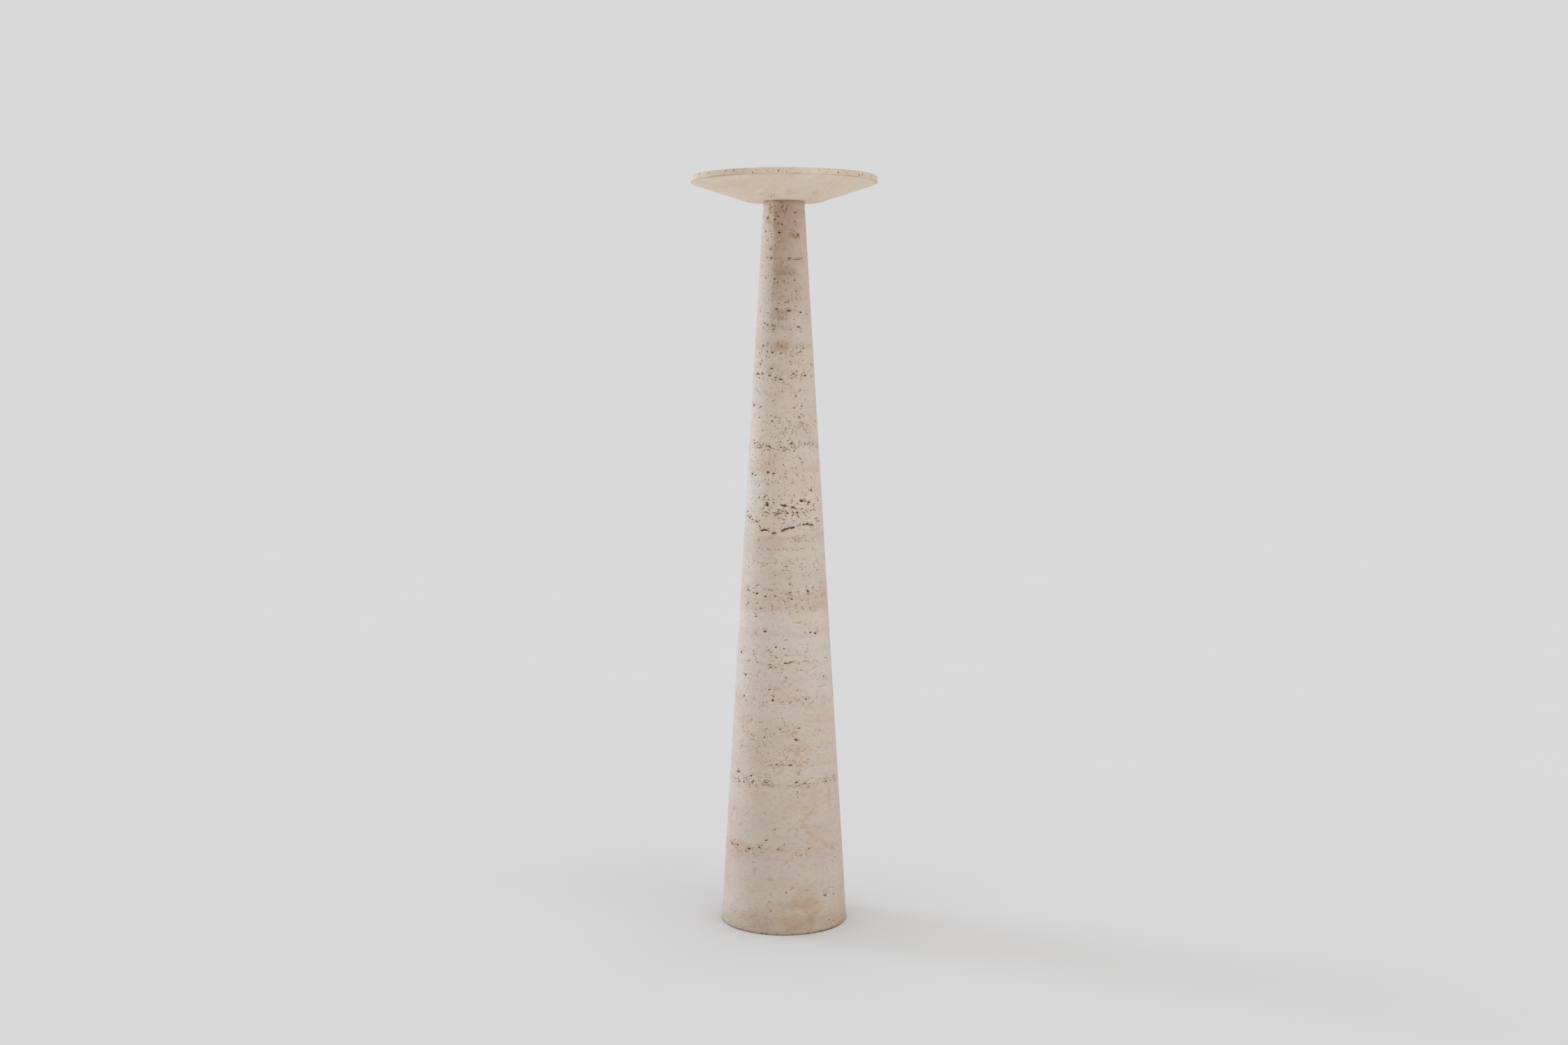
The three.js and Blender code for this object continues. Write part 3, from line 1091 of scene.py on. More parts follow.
    def pore(self, angle: float, height: float, size: float) -> Hole:
        """One fine pore. Low pores are longer and lie level, higher ones are rounder and stand every way.

        Args:
            angle: Its angle round the axis.
            height: Its height in millimetres.
            size: Its usual opening in millimetres.

        Returns:
            The pore.
        """
        dice = self.dice
        habit = self.level_pores if height < self.level_below else self.upper_pores
        opening = min(size * dice.lognormvariate(habit.size_log, self.pore_spread), self.largest_pore)
        length = opening * dice.uniform(*self.pore_length) + habit.longer
        lowest, highest = self.pore_heights
        inside = min(max(height, lowest), highest)
        tilt = habit.tilt * dice.gauss(0, 1) ** habit.power
        return self.hole(angle, inside, length, opening, False).turned(tilt)

    def fine_pores(self) -> list[Hole]:
        """The fine pores in patches along their beds, in front and behind.

        Returns:
            The pores.
        """
        dice = self.dice
        made = []
        for bed in self.pore_beds:
            reach = self.turn_of(self.patch_reach, bed.height)
            behind = [dice.uniform(*self.back_angles) for _ in bed.front]
            patches = [(angle, bed.each) for angle in bed.front]
            patches += [(angle, round(bed.each * self.behind_share)) for angle in behind]
            for angle, count in patches:
                for _ in range(count):
                    height = dice.gauss(bed.height, bed.stray)
                    made.append(self.pore(dice.gauss(angle, reach), height, bed.size))
        return made

    def chips(self) -> list[Hole]:
        """The small chips along the foot's edge.

        Returns:
            The chips.
        """
        dice = self.dice
        made = []
        for _ in range(self.foot_chips):
            length = dice.uniform(*self.chip_length)
            angle = dice.uniform(0, FULL_TURN)
            height = dice.uniform(*self.chip_height)
            made.append(self.hole(angle, height, length, dice.uniform(*self.chip_opening)))
        return made

    def holes(self) -> list[Hole]:
        """Every hole of the shaft.

        Returns:
            The holes.
        """
        made = self.crack_holes() + self.fine_pores() + self.chips()
        for void in self.voids:
            made.extend(self.torn(replace(void, tilt=self.dice.gauss(0, self.void_tilt))))
        for bed in self.beds:
            for void in self.bed_voids(bed):
                made.extend(self.torn(void))
        return made


@dataclass
class TopPlate(TurnedPiece):
    """The top plate: a shallow saucer of stone with eased edges.

    Its own shape is in metres. The sizes of its holes are in millimetres and degrees, and their places are in
    shares of the face that they are in. The front pores of the underside are placed one by one, by their
    angle and their distance from the axis in millimetres.
    """

    name: str = "top_plate"
    slot: str = "plate_travertine"
    seed: int = 23
    form: Saucer = Saucer()
    seat_round: float = 0.002
    rim_round: float = 0.0012
    corner_steps: int = 4
    flare_steps: int = 9
    seat_rings: tuple[float, ...] = (0.3, 0.6, 0.85)
    top_rings: tuple[float, ...] = (0.85, 0.65, 0.45, 0.25)
    depth_share: float = 0.8
    ragged_above: float = 1.6
    rim_holes: int = 17
    rim_start: float = -31
    rim_hole_size: Size = (4.5, 3.6)
    rim_hole_share: Span = (1.25, 0.75)
    rim_hole_drop: Span = (0.3, 0.9)
    rim_hole_tilt: float = QUARTER_TURN
    rim_shrink: float = 0.5
    pore_spread: float = 0.4
    pore_length: Span = (1, 2)
    largest_pore: float = 2.6
    rim_pores: int = 64
    rim_pore_size: float = 1.05
    rim_pore_drop: Span = (0.05, 1)
    under_pores: int = 60
    under_pore_size: float = 0.75
    under_pore_reach: Span = (0.05, 0.97)
    under_front: tuple[tuple[float, float], ...] = ((-12, 74), (-17, 70), (-21, 67), (-10, 71), (22, 106))
    under_front_size: float = 1.5
    top_pores: int = 160
    top_pore_size: float = 1.15
    top_pore_reach: Span = (0.01, 0.96)

    def corner(self, before: Vector, at: Vector, after: Vector, setback: float) -> list[Vector]:
        """A corner between two straight edges, rounded by a short curve.

        Args:
            before: The point before the corner.
            at: The corner.
            after: The point after it.
            setback: How far from the corner the curve starts and ends.

        Returns:
            The curve's points.
        """
        start = at + (before - at).normalized() * setback
        end = at + (after - at).normalized() * setback
        shares = [step / self.corner_steps for step in range(self.corner_steps + 1)]
        return [start * (1 - s) ** 2 + at * (2 * s * (1 - s)) + end * s**2 for s in shares]

    def outline(self) -> list[Ring]:
        """The seat, the flare, the rim and the top, with eased edges and even rings between.

        Returns:
            The radius and height of each ring.
        """
        form = self.form
        seat_centre = Vector((0.0, form.bottom))
        seat_edge = Vector((form.seat_radius, form.bottom))
        rim_foot = Vector((form.radius, form.rim_foot()))
        rim_top = Vector((form.radius, form.top()))
        top_centre = Vector((0.0, form.top()))
        seat = self.corner(seat_centre, seat_edge, rim_foot, self.seat_round)
        foot = self.corner(seat_edge, rim_foot, rim_top, self.rim_round)
        edge = self.corner(rim_foot, rim_top, top_centre, self.rim_round)
        flare = [seat[-1].lerp(foot[0], step / self.flare_steps) for step in range(1, self.flare_steps)]
        inner_seat = [seat_edge * share + seat_centre * (1 - share) for share in self.seat_rings]
        inner_top = [edge[-1] * share + top_centre * (1 - share) for share in self.top_rings]
        points = [seat_centre, *inner_seat, *seat, *flare, *foot, *edge, *inner_top, top_centre]
        return [(point.x, point.y) for point in points]

    def hole(self, angle: float, radius: float, height: float, lean: Vector, size: Size) -> Hole:
        """A hole in one of the plate's faces.

        Args:
            angle: Its angle round the axis.
            radius: Its distance from the axis.
            height: Its height.
            lean: The face's outward direction as a radial and an upward part.
            size: The hole's length and opening in millimetres.

        Returns:
            The hole.
        """
        around = round_direction(angle)
        outward = (around * lean.x + upward(lean.y)).normalized()
        place = around * radius + upward(height)
        side = round_direction(angle + QUARTER_TURN)
        length, opening = size
        depth = self.depth_share * opening
        ragged = opening > self.ragged_above
        return Hole(place, outward, side, length * MM, opening * MM, depth * MM, ragged)

    def main_rim_holes(self) -> list[Hole]:
        """The rim's larger holes, where the solids have them.

        Returns:
            The holes.
        """
        form = self.form
        between = self.scatter.between
        length, opening = self.rim_hole_size
        made = []
        for step in range(self.rim_holes):
            share = between(step, self.scatter.size_ratio, *self.rim_hole_share)
            angle = self.rim_start + FULL_TURN * between(step, self.scatter.angle_ratio, 0, 1)
            drop = between(step, self.scatter.height_ratio, *self.rim_hole_drop)
            height = form.top() - form.rim_height * drop
            size = (length * share * self.rim_shrink, opening * share * self.rim_shrink)
            hole = self.hole(angle, form.radius, height, Vector((1.0, 0.0)), size)
            tilt = between(step, self.scatter.height_ratio, -self.rim_hole_tilt, self.rim_hole_tilt)
            made.append(hole.turned(tilt))
        return made

    def pore(self, angle: float, radius: float, height: float, lean: Vector, usual: float) -> Hole:
        """A fine pore in one of the plate's faces, standing any way.

        Args:
            angle: Its angle round the axis.
            radius: Its distance from the axis.
            height: Its height.
            lean: The face's outward direction as a radial and an upward part.
            usual: The usual opening in millimetres.

        Returns:
            The pore.
        """
        dice = self.dice
        opening = min(usual * dice.lognormvariate(0.0, self.pore_spread), self.largest_pore)
        length = opening * dice.uniform(*self.pore_length)
        return self.hole(angle, radius, height, lean, (length, opening)).turned(dice.uniform(0, HALF_TURN))

    def fine_pores(self) -> list[Hole]:
        """The fine pores of the rim, the underside and the top.

        Returns:
            The pores.
        """
        dice = self.dice
        form = self.form
        flare = Vector((form.radius - form.seat_radius, form.thickness - form.rim_height))
        under = Vector((flare.y, -flare.x)).normalized()
        made = []
        for _ in range(self.rim_pores):
            height = form.top() - form.rim_height * dice.uniform(*self.rim_pore_drop)
            angle = dice.uniform(0, FULL_TURN)
            made.append(self.pore(angle, form.radius, height, Vector((1.0, 0.0)), self.rim_pore_size))
        places = []
        for _ in range(self.under_pores):
            angle = dice.uniform(0, FULL_TURN)
            places.append((angle, dice.uniform(*self.under_pore_reach), self.under_pore_size))
        for angle, radius in self.under_front:
            places.append((angle, (radius * MM - form.seat_radius) / flare.x, self.under_front_size))
        for angle, share, usual in places:
            radius = form.seat_radius + flare.x * share
            made.append(self.pore(angle, radius, form.bottom + flare.y * share, under, usual))
        for _ in range(self.top_pores):
            radius = form.radius * math.sqrt(dice.uniform(*self.top_pore_reach))
            angle = dice.uniform(0, FULL_TURN)
            made.append(self.pore(angle, radius, form.top(), Vector((0.0, 1.0)), self.top_pore_size))
        return made

    def holes(self) -> list[Hole]:
        """Every hole of the plate."""
        return self.main_rim_holes() + self.fine_pores()


class Bedding(Enum):
    """The direction across a block's layers."""

    LEVEL = (0.0, 0.0, 1.0)
    ACROSS = (0.815, 0.57, 0.1)


@dataclass(frozen=True)
class Stain:
    """A soft patch of colour: its angle, its height and half sizes in millimetres, its colour and strength.

    Core is the share of its reach that has the full colour, and tilt turns it on the surface. A ring has its
    colour along its left edge only, as where a wet patch has dried.
    """

    HALF_DEPTH = 0.05
    END = 1.1
    RING_BAND = (0.62, 0.85)
    RING_SIDE = (0.45, -0.1)

    angle: float
    height: float
    half_width: float
    half_height: float
    colour: Shade
    strength: float
    core: float = 0.35
    tilt: float = 0.0
    ring: bool = False

    def lay(self, paint: Paint, ragged: Output, radius: float, under: Output) -> Output:
        """Lays the stain over a colour.

        Args:
            paint: The material.
            ragged: The place on the surface, shifted a little here and there.
            radius: The surface's distance from the axis at the stain.
            under: The colour under the stain.

        Returns:
            The stained colour.
        """
        sockets = {
            "Vector": ragged,
            "Location": round_direction(self.angle) * radius + upward(self.height * MM),
            "Rotation": (0.0, math.radians(self.tilt), math.radians(self.angle)),
            "Scale": (self.half_width * MM, self.HALF_DEPTH, self.half_height * MM),
        }
        inside = paint.out("ShaderNodeMapping", {"vector_type": "TEXTURE"}, sockets)
        reach = paint.length(inside)
        share = paint.rise(reach, self.END, self.core)
        if self.ring:
            side = paint.rise(paint.part(inside, Axis.X), *self.RING_SIDE)
            share = share * paint.rise(reach, *self.RING_BAND) * side
        return paint.tinted(share * self.strength, under, self.colour)


@dataclass(frozen=True)
class Travertine:
    """Honed, unfilled travertine. The shades are of the stone itself, and the tints multiply them.

    Depths are those that the hole cutter stores: 0 on a face and 1 or more at the bottom of a larger hole.
    """

    name: str
    bedding: Bedding
    wave_scale: float = 7.0
    wave: float = 0.02
    pink: Shade = (0.99, 0.94, 0.92)
    pink_cloud: Pattern = Pattern(9.0, 0.45, 0.68)
    yellow: Shade = (0.99, 0.965, 0.91)
    yellow_cloud: Pattern = Pattern(13.0, 0.5, 0.7)
    grey: Shade = (0.94, 0.935, 0.945)
    grey_cloud: Pattern = Pattern(17.0, 0.5, 0.72)
    lamina: Shade = (0.9, 0.86, 0.8)
    mottle: Pattern = Pattern(120.0, 0.45, 0.75)
    cloud_flatness: float = 1.8
    fine_layers: Pattern = Pattern(260.0, 0.5, 0.75)
    fine_patch: Pattern = Pattern(11.0, 0.35, 0.7, 2.0)
    fine_strength: float = 0.3
    broad_layers: Pattern = Pattern(55.0, 0.48, 0.72, 2.0)
    broad_strength: float = 0.35
    stain_lumps: float = 60.0
    stain_stray: float = 0.016
    speck: Shade = (0.5, 0.42, 0.33)
    speck_strength: float = 0.4
    speck_scale: float = 320.0
    speck_flatness: float = 1.4
    speck_edge: Span = (0.26, 0.12)
    speck_patch: Pattern = Pattern(26.0, 0.42, 0.7)
    speck_patch_share: float = 0.5
    speck_chance: Span = (0.85, 1.1)
    halo: Shade = (0.93, 0.87, 0.79)
    halo_depth: Span = (0.02, 0.3)
    halo_patch: Pattern = Pattern(40.0, 0.38, 0.66, 2.0)
    wall: Shade = (0.66, 0.49, 0.33)
    wall_depth: Span = (0.3, 0.42)
    lining: Shade = shade(112, 74, 44)
    lining_depth: Span = (0.45, 1.1)
    grain_scale: float = 700.0
    grain_relief: float = 0.1
    speck_relief: float = 0.6
    relief: float = 0.0006
    roughness: float = 0.58
    roughness_stray: float = 0.16

    def level(self, paint: Paint) -> Output:
        """How far across the block's layers each point lies, in metres, with the layers gently waved.

        Args:
            paint: The material.

        Returns:
            The distance.
        """
        sockets = {0: paint.place, 1: self.bedding.value}
        across = paint.out("ShaderNodeVectorMath", {"operation": "DOT_PRODUCT"}, sockets, output="Value")
        return across + paint.stray(self.wave_scale, self.wave, 2.0)

    def tone(self, paint: Paint, level: Output) -> Output:
        """The stone's main colour, layer by layer."""
        raise NotImplementedError

    def soil_and_shade(self, paint: Paint, ragged: Output, colour: Output) -> Output:
        """Lays the marks of use, and the painted shade where a stone has any, over the stone's colour."""
        raise NotImplementedError

    def ragged_place(self, paint: Paint) -> Output:
        """The place on the surface, shifted by up to a few millimetres so that stains have soft torn edges.

        Args:
            paint: The material.

        Returns:
            The shifted place.
        """
        sockets = {"Vector": paint.place, "Scale": self.stain_lumps, "Detail": 3.0}
        cloud = paint.out("ShaderNodeTexNoise", {"noise_dimensions": "3D"}, sockets, output="Color")
        sockets = {0: cloud, 1: (self.stain_stray,) * 3, 2: (-self.stain_stray / 2,) * 3}
        shift = paint.out("ShaderNodeVectorMath", {"operation": "MULTIPLY_ADD"}, sockets)
        return paint.out("ShaderNodeVectorMath", {"operation": "ADD"}, {0: paint.place, 1: shift})

    def clouded(self, paint: Paint, colour: Output) -> Output:
        """Varies a colour by soft clouds of pink, yellow and grey, and by a fine mottle.

        Args:
            paint: The material.
            colour: The colour.

        Returns:
            The clouded colour.
        """
        flat = paint.stretched(paint.place, (1.0, 1.0, self.cloud_flatness))
        for pattern, tint in (
            (self.pink_cloud, self.pink),
            (self.yellow_cloud, self.yellow),
            (self.grey_cloud, self.grey),
            (self.mottle, self.lamina),
        ):
            colour = paint.tinted(pattern.cloud(paint, flat), colour, tint)
        return colour

    def laminated(self, paint: Paint, level: Output, colour: Output) -> Output:
        """Draws fine layers across a colour, here stronger and there weaker, and broad ones everywhere.

        Args:
            paint: The material.
            level: How far across the layers each point lies.
            colour: The colour.

        Returns:
            The layered colour.
        """
        fine = self.fine_layers.layer(paint, level) * self.fine_patch.cloud(paint, paint.place)
        colour = paint.tinted(fine * self.fine_strength, colour, self.lamina)
        broad = self.broad_layers.layer(paint, level)
        return paint.tinted(broad * self.broad_strength, colour, self.lamina)

    def specks(self, paint: Paint) -> Output:
        """The finest pores, too small to cut.

        Args:
            paint: The material.

        Returns:
            1 inside one of them, else 0.
        """
        flat = paint.stretched(paint.place, (1.0, 1.0, self.speck_flatness))
        sockets = {"Vector": flat, "Scale": self.speck_scale}
        cells = paint.node("ShaderNodeTexVoronoi", {"feature": "F1"}, sockets)
        distance, tag = (Output(paint, cells.outputs[name]) for name in ("Distance", "Color"))
        pick = paint.out("ShaderNodeSeparateColor", None, {0: tag})
        likely = pick + self.speck_patch.cloud(paint, flat) * self.speck_patch_share
        return paint.rise(distance, *self.speck_edge) * paint.rise(likely, *self.speck_chance)

    def hollowed(self, paint: Paint, colour: Output) -> Output:
        """Colours the holes: a rusty halo here and there, darker walls and a dark lining.

        Args:
            paint: The material.
            colour: The colour of the faces.

        Returns:
            The colour of the faces and the holes.
        """
        depth = paint.out("ShaderNodeAttribute", {"attribute_name": HoleCutter.DEPTH}, output="Fac")
        halo = paint.rise(depth, *self.halo_depth) * self.halo_patch.cloud(paint, paint.place)
        colour = paint.tinted(halo, colour, self.halo)
        colour = paint.tinted(paint.rise(depth, *self.wall_depth), colour, self.wall)
        return paint.mixed(paint.rise(depth, *self.lining_depth), colour, self.lining)

    def material(self) -> bpy.types.Material:
        """Makes the stone's material.

        Returns:
            The material.
        """
        paint = Paint(self.name)
        level = self.level(paint)
        colour = self.laminated(paint, level, self.clouded(paint, self.tone(paint, level)))
        colour = self.soil_and_shade(paint, self.ragged_place(paint), colour)
        specks = self.specks(paint)
        colour = self.hollowed(paint, paint.tinted(specks * self.speck_strength, colour, self.speck))
        grain = paint.noise(paint.place, self.grain_scale)
        relief = grain * self.grain_relief + (1.0 - specks) * self.speck_relief
        return paint.finish(colour, self.roughness + grain * self.roughness_stray, relief, self.relief)


@dataclass(frozen=True)
class Tone:
    """The stone's colour at a height of the shaft, in millimetres."""

    height: float
    colour: Shade


@dataclass(frozen=True)
class GrimeAndShade:
    """The grimy soiling that hands and drips have left down the neck's front, with painted shade, in metres.

    It starts sharply at an angle, a painted shading edge where the left light stops reaching the front, fades
    out to the right of it, and grows thicker from bottom to top.
    """

    # The sharp edge at this angle is painted shade: the edge of the left light on the neck's front.
    angle: float = -27.0
    tint: Shade = (0.71, 0.62, 0.55)
    start: Span = (-0.004, 0.004)
    end: Span = (0.05, 0.012)
    run: Span = (0.94, 1.21)
    cloud_scale: float = 38.0
    cloud_stray: float = 0.014
    cloud_run: float = 0.12
    crumb_scale: float = 150.0
    crumb_stray: float = 0.012
    crumb_strength: float = 1.4

    def lay(self, paint: Paint, height: Output, under: Output) -> Output:
        """Lays the soiling and painted shade over a colour.

        Args:
            paint: The material.
            height: The height of each point.
            under: The colour under the soiling and painted shade.

        Returns:
            The soiled colour.
        """
        turned = paint.stretched(paint.place, (1.0, 1.0, 1.0), -self.angle)
        cloud = paint.noise(paint.place, self.cloud_scale) - 0.5
        crumbs = paint.noise(paint.place, self.crumb_scale) - 0.5
        across = paint.part(turned, Axis.X) + cloud * self.cloud_stray + crumbs * self.crumb_stray
        column = paint.rise(across, *self.start) * paint.rise(across, *self.end)
        run = paint.rise(height + cloud * self.cloud_run, *self.run)
        return paint.tinted(column * run * (1.0 + crumbs * self.crumb_strength), under, self.tint)


@dataclass(frozen=True)
class DirtAndShade:
    """A dirty band along the foot's edge: its height and stray in metres, its lumps per metre, tint and
    strength.

    The thin dark band at the floor is a painted contact shadow as well as soiling.
    """

    height: float
    stray: float
    scale: float
    tint: Shade
    strength: float

    def lay(self, paint: Paint, height: Output, under: Output) -> Output:
        """Lays the band over a colour, by the height of each point."""
        share = paint.rise(height + paint.stray(self.scale, self.stray), self.height, 0.0)
        return paint.tinted(share * self.strength, under, self.tint)


@dataclass(frozen=True)
class ShaftStone(Travertine):
    """The shaft's stone: level layers of slightly different tone, a grimy neck with painted shade down its
    front, and a stained foot with a painted contact shadow at the floor.
    """

    name: str = "level travertine"
    bedding: Bedding = Bedding.LEVEL
    taper: Taper = Taper()
    neck_grime_and_shade: GrimeAndShade = GrimeAndShade()
    foot_dirt_and_shade: tuple[DirtAndShade, ...] = (
        DirtAndShade(0.04, 0.03, 30.0, (0.84, 0.78, 0.7), 0.7),
        # A thin dark band at the floor: painted contact shadow as well as soiling.
        DirtAndShade(0.004, 0.006, 160.0, (0.5, 0.42, 0.34), 0.8),
    )
    tones: tuple[Tone, ...] = (
        Tone(0, shade(199, 185, 170)),
        Tone(118, shade(200, 187, 175)),
        Tone(126, shade(200, 186, 172)),
        Tone(300, shade(206, 193, 180)),
        Tone(533, shade(212, 200, 189)),
        Tone(541, shade(203, 188, 173)),
        Tone(600, shade(208, 195, 182)),
        Tone(632, shade(210, 198, 186)),
        Tone(642, shade(207, 194, 182)),
        Tone(720, shade(212, 200, 188)),
        Tone(910, shade(208, 194, 179)),
        Tone(1000, shade(205, 192, 180)),
        Tone(1120, shade(210, 194, 178)),
        Tone(1210, shade(216, 198, 182)),
    )
    stains: tuple[Stain, ...] = (
        Stain(22, 1150, 24, 110, (0.92, 0.9, 0.88), 0.6),
        Stain(10, 1070, 44, 40, (0.9, 0.86, 0.83), 0.8),
        Stain(29, 1152, 13, 7, (0.7, 0.57, 0.43), 0.8),
        Stain(0, 1092, 24, 9, (0.82, 0.73, 0.64), 0.7),
        Stain(-6, 1022, 22, 14, (0.85, 0.82, 0.81), 0.8),
        Stain(8, 1029, 26, 5, (0.84, 0.8, 0.78), 0.8),
        Stain(-11, 1018, 5, 18, (0.8, 0.77, 0.76), 0.8),
        Stain(2, 1003, 24, 8, (0.86, 0.83, 0.81), 0.7),
        Stain(-4, 972, 17, 12, (0.8, 0.69, 0.57), 0.7),
        Stain(-30, 778, 30, 22, (0.95, 0.87, 0.81), 0.8),
        Stain(-24, 650, 36, 18, (0.96, 0.9, 0.86), 0.8),
        Stain(15, 303, 6, 9, (0.8, 0.8, 0.82), 0.8),
        Stain(16, 268, 5, 5, (0.76, 0.76, 0.8), 0.8),
        Stain(-52, 141, 32, 18, (0.94, 0.85, 0.76), 0.8),
        Stain(32, 183, 24, 20, (0.87, 0.77, 0.62), 0.5, 0.95, 0.0, True),
        Stain(44, 148, 40, 6, (0.92, 0.83, 0.73), 0.6, 0.35, 25.0),
        Stain(54, 226, 6, 20, (0.9, 0.79, 0.67), 0.7),
        Stain(-30, 131, 5, 5, (0.78, 0.78, 0.8), 0.8),
        Stain(-30, 119, 4, 4, (0.8, 0.8, 0.82), 0.8),
        Stain(-30, 108, 4, 3, (0.8, 0.8, 0.82), 0.8),
        Stain(-13, 92, 7, 5, (0.86, 0.77, 0.64), 0.8),
        Stain(-13, 68, 2.6, 2.6, (0.72, 0.72, 0.72), 0.8),
        Stain(-13, 57, 2.4, 2.4, (0.72, 0.72, 0.72), 0.8),
        Stain(20, 60, 26, 24, (0.91, 0.86, 0.75), 0.8, 0.6),
        Stain(28, 45, 22, 20, (0.92, 0.87, 0.77), 0.8, 0.6),
        Stain(-9, 46, 20, 14, (0.93, 0.89, 0.8), 0.7, 0.6),
        Stain(5, 40, 18, 18, (0.93, 0.89, 0.8), 0.7, 0.6),
        Stain(12, 22, 40, 14, (0.88, 0.82, 0.72), 0.8, 0.6),
        Stain(-20, 25, 36, 19, (0.87, 0.85, 0.83), 0.8),
    )

    def tone(self, paint: Paint, level: Output) -> Output:
        """The stone's main colour, layer by layer up the shaft.

        Args:
            paint: The material.
            level: How far across the layers each point lies.

        Returns:
            The colour.
        """
        top = self.tones[-1].height * MM
        stops = [(tone.height * MM / top, tone.colour) for tone in self.tones]
        return paint.out("ShaderNodeValToRGB", {"stops": stops}, {0: level * (1 / top)})

    def soil_and_shade(self, paint: Paint, ragged: Output, colour: Output) -> Output:
        """Lays the soiling and painted shade down the neck, the stains, and the dirty bands along the foot's
        edge, the lowest with a painted contact shadow.

        Args:
            paint: The material.
            ragged: The place on the surface, shifted a little here and there.
            colour: The stone's colour.

        Returns:
            The soiled colour.
        """
        height = paint.part(paint.place, Axis.Z)
        # Soiling and painted shade down the neck's front.
        colour = self.neck_grime_and_shade.lay(paint, height, colour)
        for stain in self.stains:
            colour = stain.lay(paint, ragged, self.taper.radius(stain.height * MM), colour)
        # Dirty bands along the foot; the lowest is also a painted contact shadow at the floor.
        for foot_band in self.foot_dirt_and_shade:
            colour = foot_band.lay(paint, height, colour)
        return colour


@dataclass(frozen=True)
class PlateStone(Travertine):
    """The plate's stone: layers that cross it in plan, warmer and with fewer marks, and lightened as painted
    light for its underside.

    Each stain comes with its distance from the axis. The painted shade of the rim and the top starts a little
    inside the stone, and the spans at the rim's lower edge are offsets from its place.
    """

    name: str = "cross-cut travertine"
    bedding: Bedding = Bedding.ACROSS
    form: Saucer = Saucer()
    pink: Shade = (0.99, 0.96, 0.94)
    yellow: Shade = (0.99, 0.98, 0.94)
    grey: Shade = (0.97, 0.97, 0.97)
    lamina: Shade = (0.95, 0.93, 0.9)
    # The cream, chalk and sand are lighter than the stone itself: painted light for the underside, which the
    # floor lights too weakly.
    cream: Shade = shade(241, 225, 206)
    chalk: Shade = shade(244, 231, 214)
    sand: Shade = shade(235, 216, 193)
    grain_stretch: Triple = (9.0, 60.0, 9.0)
    grain_turn: float = 55.0
    streaks: Pattern = Pattern(1.0, 0.5, 0.72)
    hairs: Pattern = Pattern(3.0, 0.5, 0.7)
    seams: Pattern = Pattern(34.0, 0.52, 0.74)
    wall: Shade = (0.72, 0.58, 0.42)
    lining: Shade = shade(136, 100, 66)
    # The rim's tint is painted shade, taking the underside's painted lightening back off a face that the
    # lamps light.
    rim: Shade = (0.83, 0.815, 0.79)
    rim_inset: float = 0.0008
    rim_shade_blend: float = 0.0006
    # The top's tint is painted shade, taking the painted lightening back off the face under the top light.
    top: Shade = (0.84, 0.83, 0.83)
    top_shade_inset: float = 0.0005
    top_shade_blend: float = 0.0005
    # A thin dark line at the rim's lower edge, in patches: a brown line and a painted shadow line.
    edge: Shade = (0.8, 0.74, 0.68)
    edge_below: Span = (-0.001, -0.0002)
    edge_above: Span = (0.0012, 0.0004)
    edge_inside: Span = (-0.004, -0.002)
    edge_line_patches: Pattern = Pattern(25.0, 0.3, 0.6)
    stains: tuple[tuple[Stain, float], ...] = (
        (Stain(35, 1218, 6, 3.5, (0.86, 0.74, 0.56), 0.7), 0.087),
        (Stain(41, 1213, 5, 2.4, (0.88, 0.78, 0.62), 0.7), 0.07),
        (Stain(52, 1213, 4, 2.4, (0.88, 0.78, 0.62), 0.7), 0.07),
        (Stain(8, 1217, 10, 3, (0.93, 0.86, 0.76), 0.6), 0.084),
        (Stain(64, 1233, 7, 3, (0.93, 0.86, 0.76), 0.6), 0.135),
        (Stain(-15, 1212, 9, 3, (0.93, 0.86, 0.76), 0.5), 0.07),
    )
    rim_stains: tuple[Stain, ...] = (
        Stain(-44, 1246, 74, 30, (0.85, 0.83, 0.83), 1.0, 0.6),
        Stain(52, 1246, 60, 30, (0.92, 0.91, 0.95), 1.0, 0.6),
    )

    def tone(self, paint: Paint, level: Output) -> Output:
        """Chalky and sandy streaks in cream.

        Args:
            paint: The material.
            level: How far across the layers each point lies.

        Returns:
            The colour.
        """
        along = paint.stretched(paint.place, self.grain_stretch, self.grain_turn)
        colour = paint.mixed(self.streaks.cloud(paint, along), self.cream, self.chalk)
        colour = paint.tinted(self.hairs.cloud(paint, along), colour, self.lamina)
        return paint.mixed(self.seams.layer(paint, level), colour, self.sand)

    def soil_and_shade(self, paint: Paint, ragged: Output, colour: Output) -> Output:
        """Lays the rusty marks near the seat, painted shade on the rim and the top, and a dark line along the
        rim's lower edge that is a brown line and a painted shadow line.

        Args:
            paint: The material.
            ragged: The place on the surface, shifted a little here and there.
            colour: The stone's colour.

        Returns:
            The soiled colour.
        """
        rim_radius = self.form.radius - self.rim_inset
        rim_foot = self.form.rim_foot()
        top = self.form.top() - self.top_shade_inset
        for stain, distance in self.stains:
            colour = stain.lay(paint, ragged, distance, colour)
        # Painted shade on the rim, taking back the lightening painted for the underside.
        rim = paint.tinted(1.0, colour, self.rim)
        for stain in self.rim_stains:
            rim = stain.lay(paint, ragged, rim_radius, rim)
        radius = paint.length(paint.stretched(paint.place, (1.0, 1.0, 0.0)))
        outer = paint.rise(radius, rim_radius, rim_radius + self.rim_shade_blend)
        colour = paint.mixed(outer, colour, rim)
        height = paint.part(paint.place, Axis.Z)
        # Painted shade on the top face.
        colour = paint.tinted(paint.rise(height, top - self.top_shade_blend, top), colour, self.top)
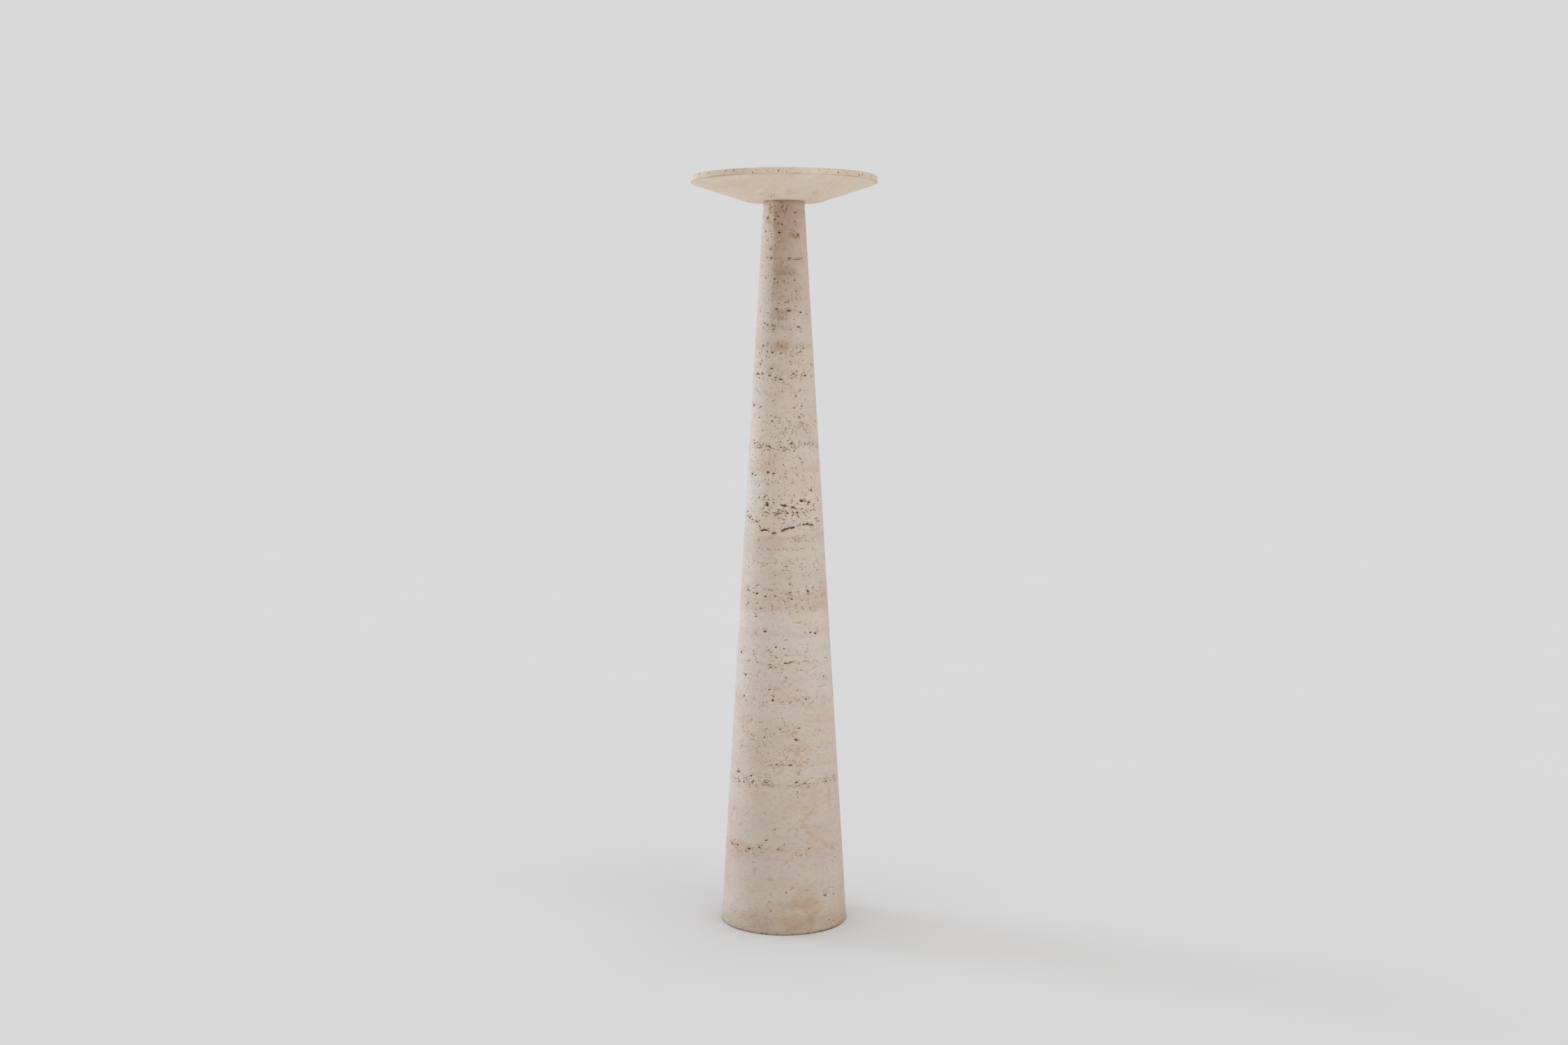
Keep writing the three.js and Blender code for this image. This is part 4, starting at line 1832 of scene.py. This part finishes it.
        # The dark line along the rim's lower edge, in patches: a brown line and a painted shadow line.
        worn = self.edge_line_patches.cloud(paint, paint.place)
        for measure, at, span in (
            (height, rim_foot, self.edge_below),
            (height, rim_foot, self.edge_above),
            (radius, rim_radius, self.edge_inside),
        ):
            worn = worn * paint.rise(measure, at + span[0], at + span[1])
        return paint.tinted(worn, colour, self.edge)


@dataclass(frozen=True)
class Lamp:
    """A distant soft light: its angle round the pedestal, its elevation, spread and strength."""

    DISTANCE = 4

    name: str
    angle: float
    elevation: float
    spread: float
    strength: float
    colour: Shade

    def hang(self) -> None:
        """Hangs the light."""
        lamp = bpy.data.lights.new(self.name, "SUN")
        lamp.angle = math.radians(self.spread)
        lamp.energy = self.strength
        lamp.color = self.colour
        light = bpy.data.objects.new(self.name, lamp)
        elevation = math.radians(self.elevation)
        place = round_direction(self.angle) * math.cos(elevation) + upward(math.sin(elevation))
        light.location = place * self.DISTANCE
        light.rotation_euler = (-place).to_track_quat("-Z", "Y").to_euler()
        bpy.context.scene.collection.objects.link(light)


@dataclass
class Studio:
    """The pale floor, the soft light and the camera."""

    floor_size: float = 400.0
    floor_shades: tuple[Shade, Shade] = (shade(211, 211, 210), shade(210, 209, 208))
    floor_clouds: float = 3.0
    floor_roughness: float = 0.9
    lamps: tuple[Lamp, ...] = (
        Lamp("left light", -114, 10, 25, 1.38, (0.88, 0.98, 1.17)),
        Lamp("right light", 50, 16, 60, 0.58, (1.0, 1.0, 1.0)),
        Lamp("top light", 0, 90, 80, 0.8, (1.0, 1.0, 1.0)),
    )
    sky: Shade = shade(217, 217, 218)
    distance: float = 3.011
    camera_height: float = 0.941
    pitch: float = 5.012
    lens: float = 41.30
    sensor: float = 36.0
    sight: float = 600.0

    def build(self) -> None:
        """Makes the floor, the light and the camera."""
        self.floor()
        self.light()
        self.camera()

    def floor(self) -> None:
        """Lays the floor."""
        mesh = bpy.data.meshes.new("floor")
        half = self.floor_size / 2
        corners = [(-half, -half, 0.0), (half, -half, 0.0), (half, half, 0.0), (-half, half, 0.0)]
        mesh.from_pydata(corners, [], [(0, 1, 2, 3)])
        floor = bpy.data.objects.new("floor", mesh)
        bpy.context.scene.collection.objects.link(floor)
        paint = Paint("pale floor")
        fine = paint.noise(paint.place, self.floor_clouds)
        colour = paint.mixed(fine, *self.floor_shades)
        rough = self.floor_roughness + fine * (1 - self.floor_roughness)
        mesh.materials.append(paint.finish(colour, rough, fine, depth=0.0, gloss=1.0))

    def light(self) -> None:
        """Sets an even pale sky and hangs the lamps."""
        world = bpy.data.worlds.new("studio")
        world.use_nodes = True
        graph = Graph(world.node_tree)
        sky = graph.out("ShaderNodeBackground", None, {"Color": self.sky, "Strength": 1.0})
        graph.node("ShaderNodeOutputWorld", None, {"Surface": sky})
        scene = bpy.context.scene
        scene.world = world
        scene.view_settings.view_transform = "Standard"
        for lamp in self.lamps:
            lamp.hang()

    def camera(self) -> None:
        """Sets the camera where the photo was taken from."""
        eye = bpy.data.cameras.new("photo")
        eye.sensor_width = self.sensor
        eye.lens = self.lens
        eye.clip_end = self.sight
        camera = bpy.data.objects.new("photo", eye)
        camera.location = (0.0, -self.distance, self.camera_height)
        camera.rotation_euler = (math.radians(QUARTER_TURN - self.pitch), 0.0, 0.0)
        bpy.context.scene.collection.objects.link(camera)
        bpy.context.scene.camera = camera


def main() -> None:
    """Builds the pedestal and its studio."""
    logging.basicConfig(level=logging.INFO, format="%(name)s %(message)s")
    cutter = HoleCutter(seed=5)
    Shaft().build(cutter, ShaftStone().material())
    TopPlate().build(cutter, PlateStone().material())
    Studio().build()


if __name__ == "__main__":
    main()
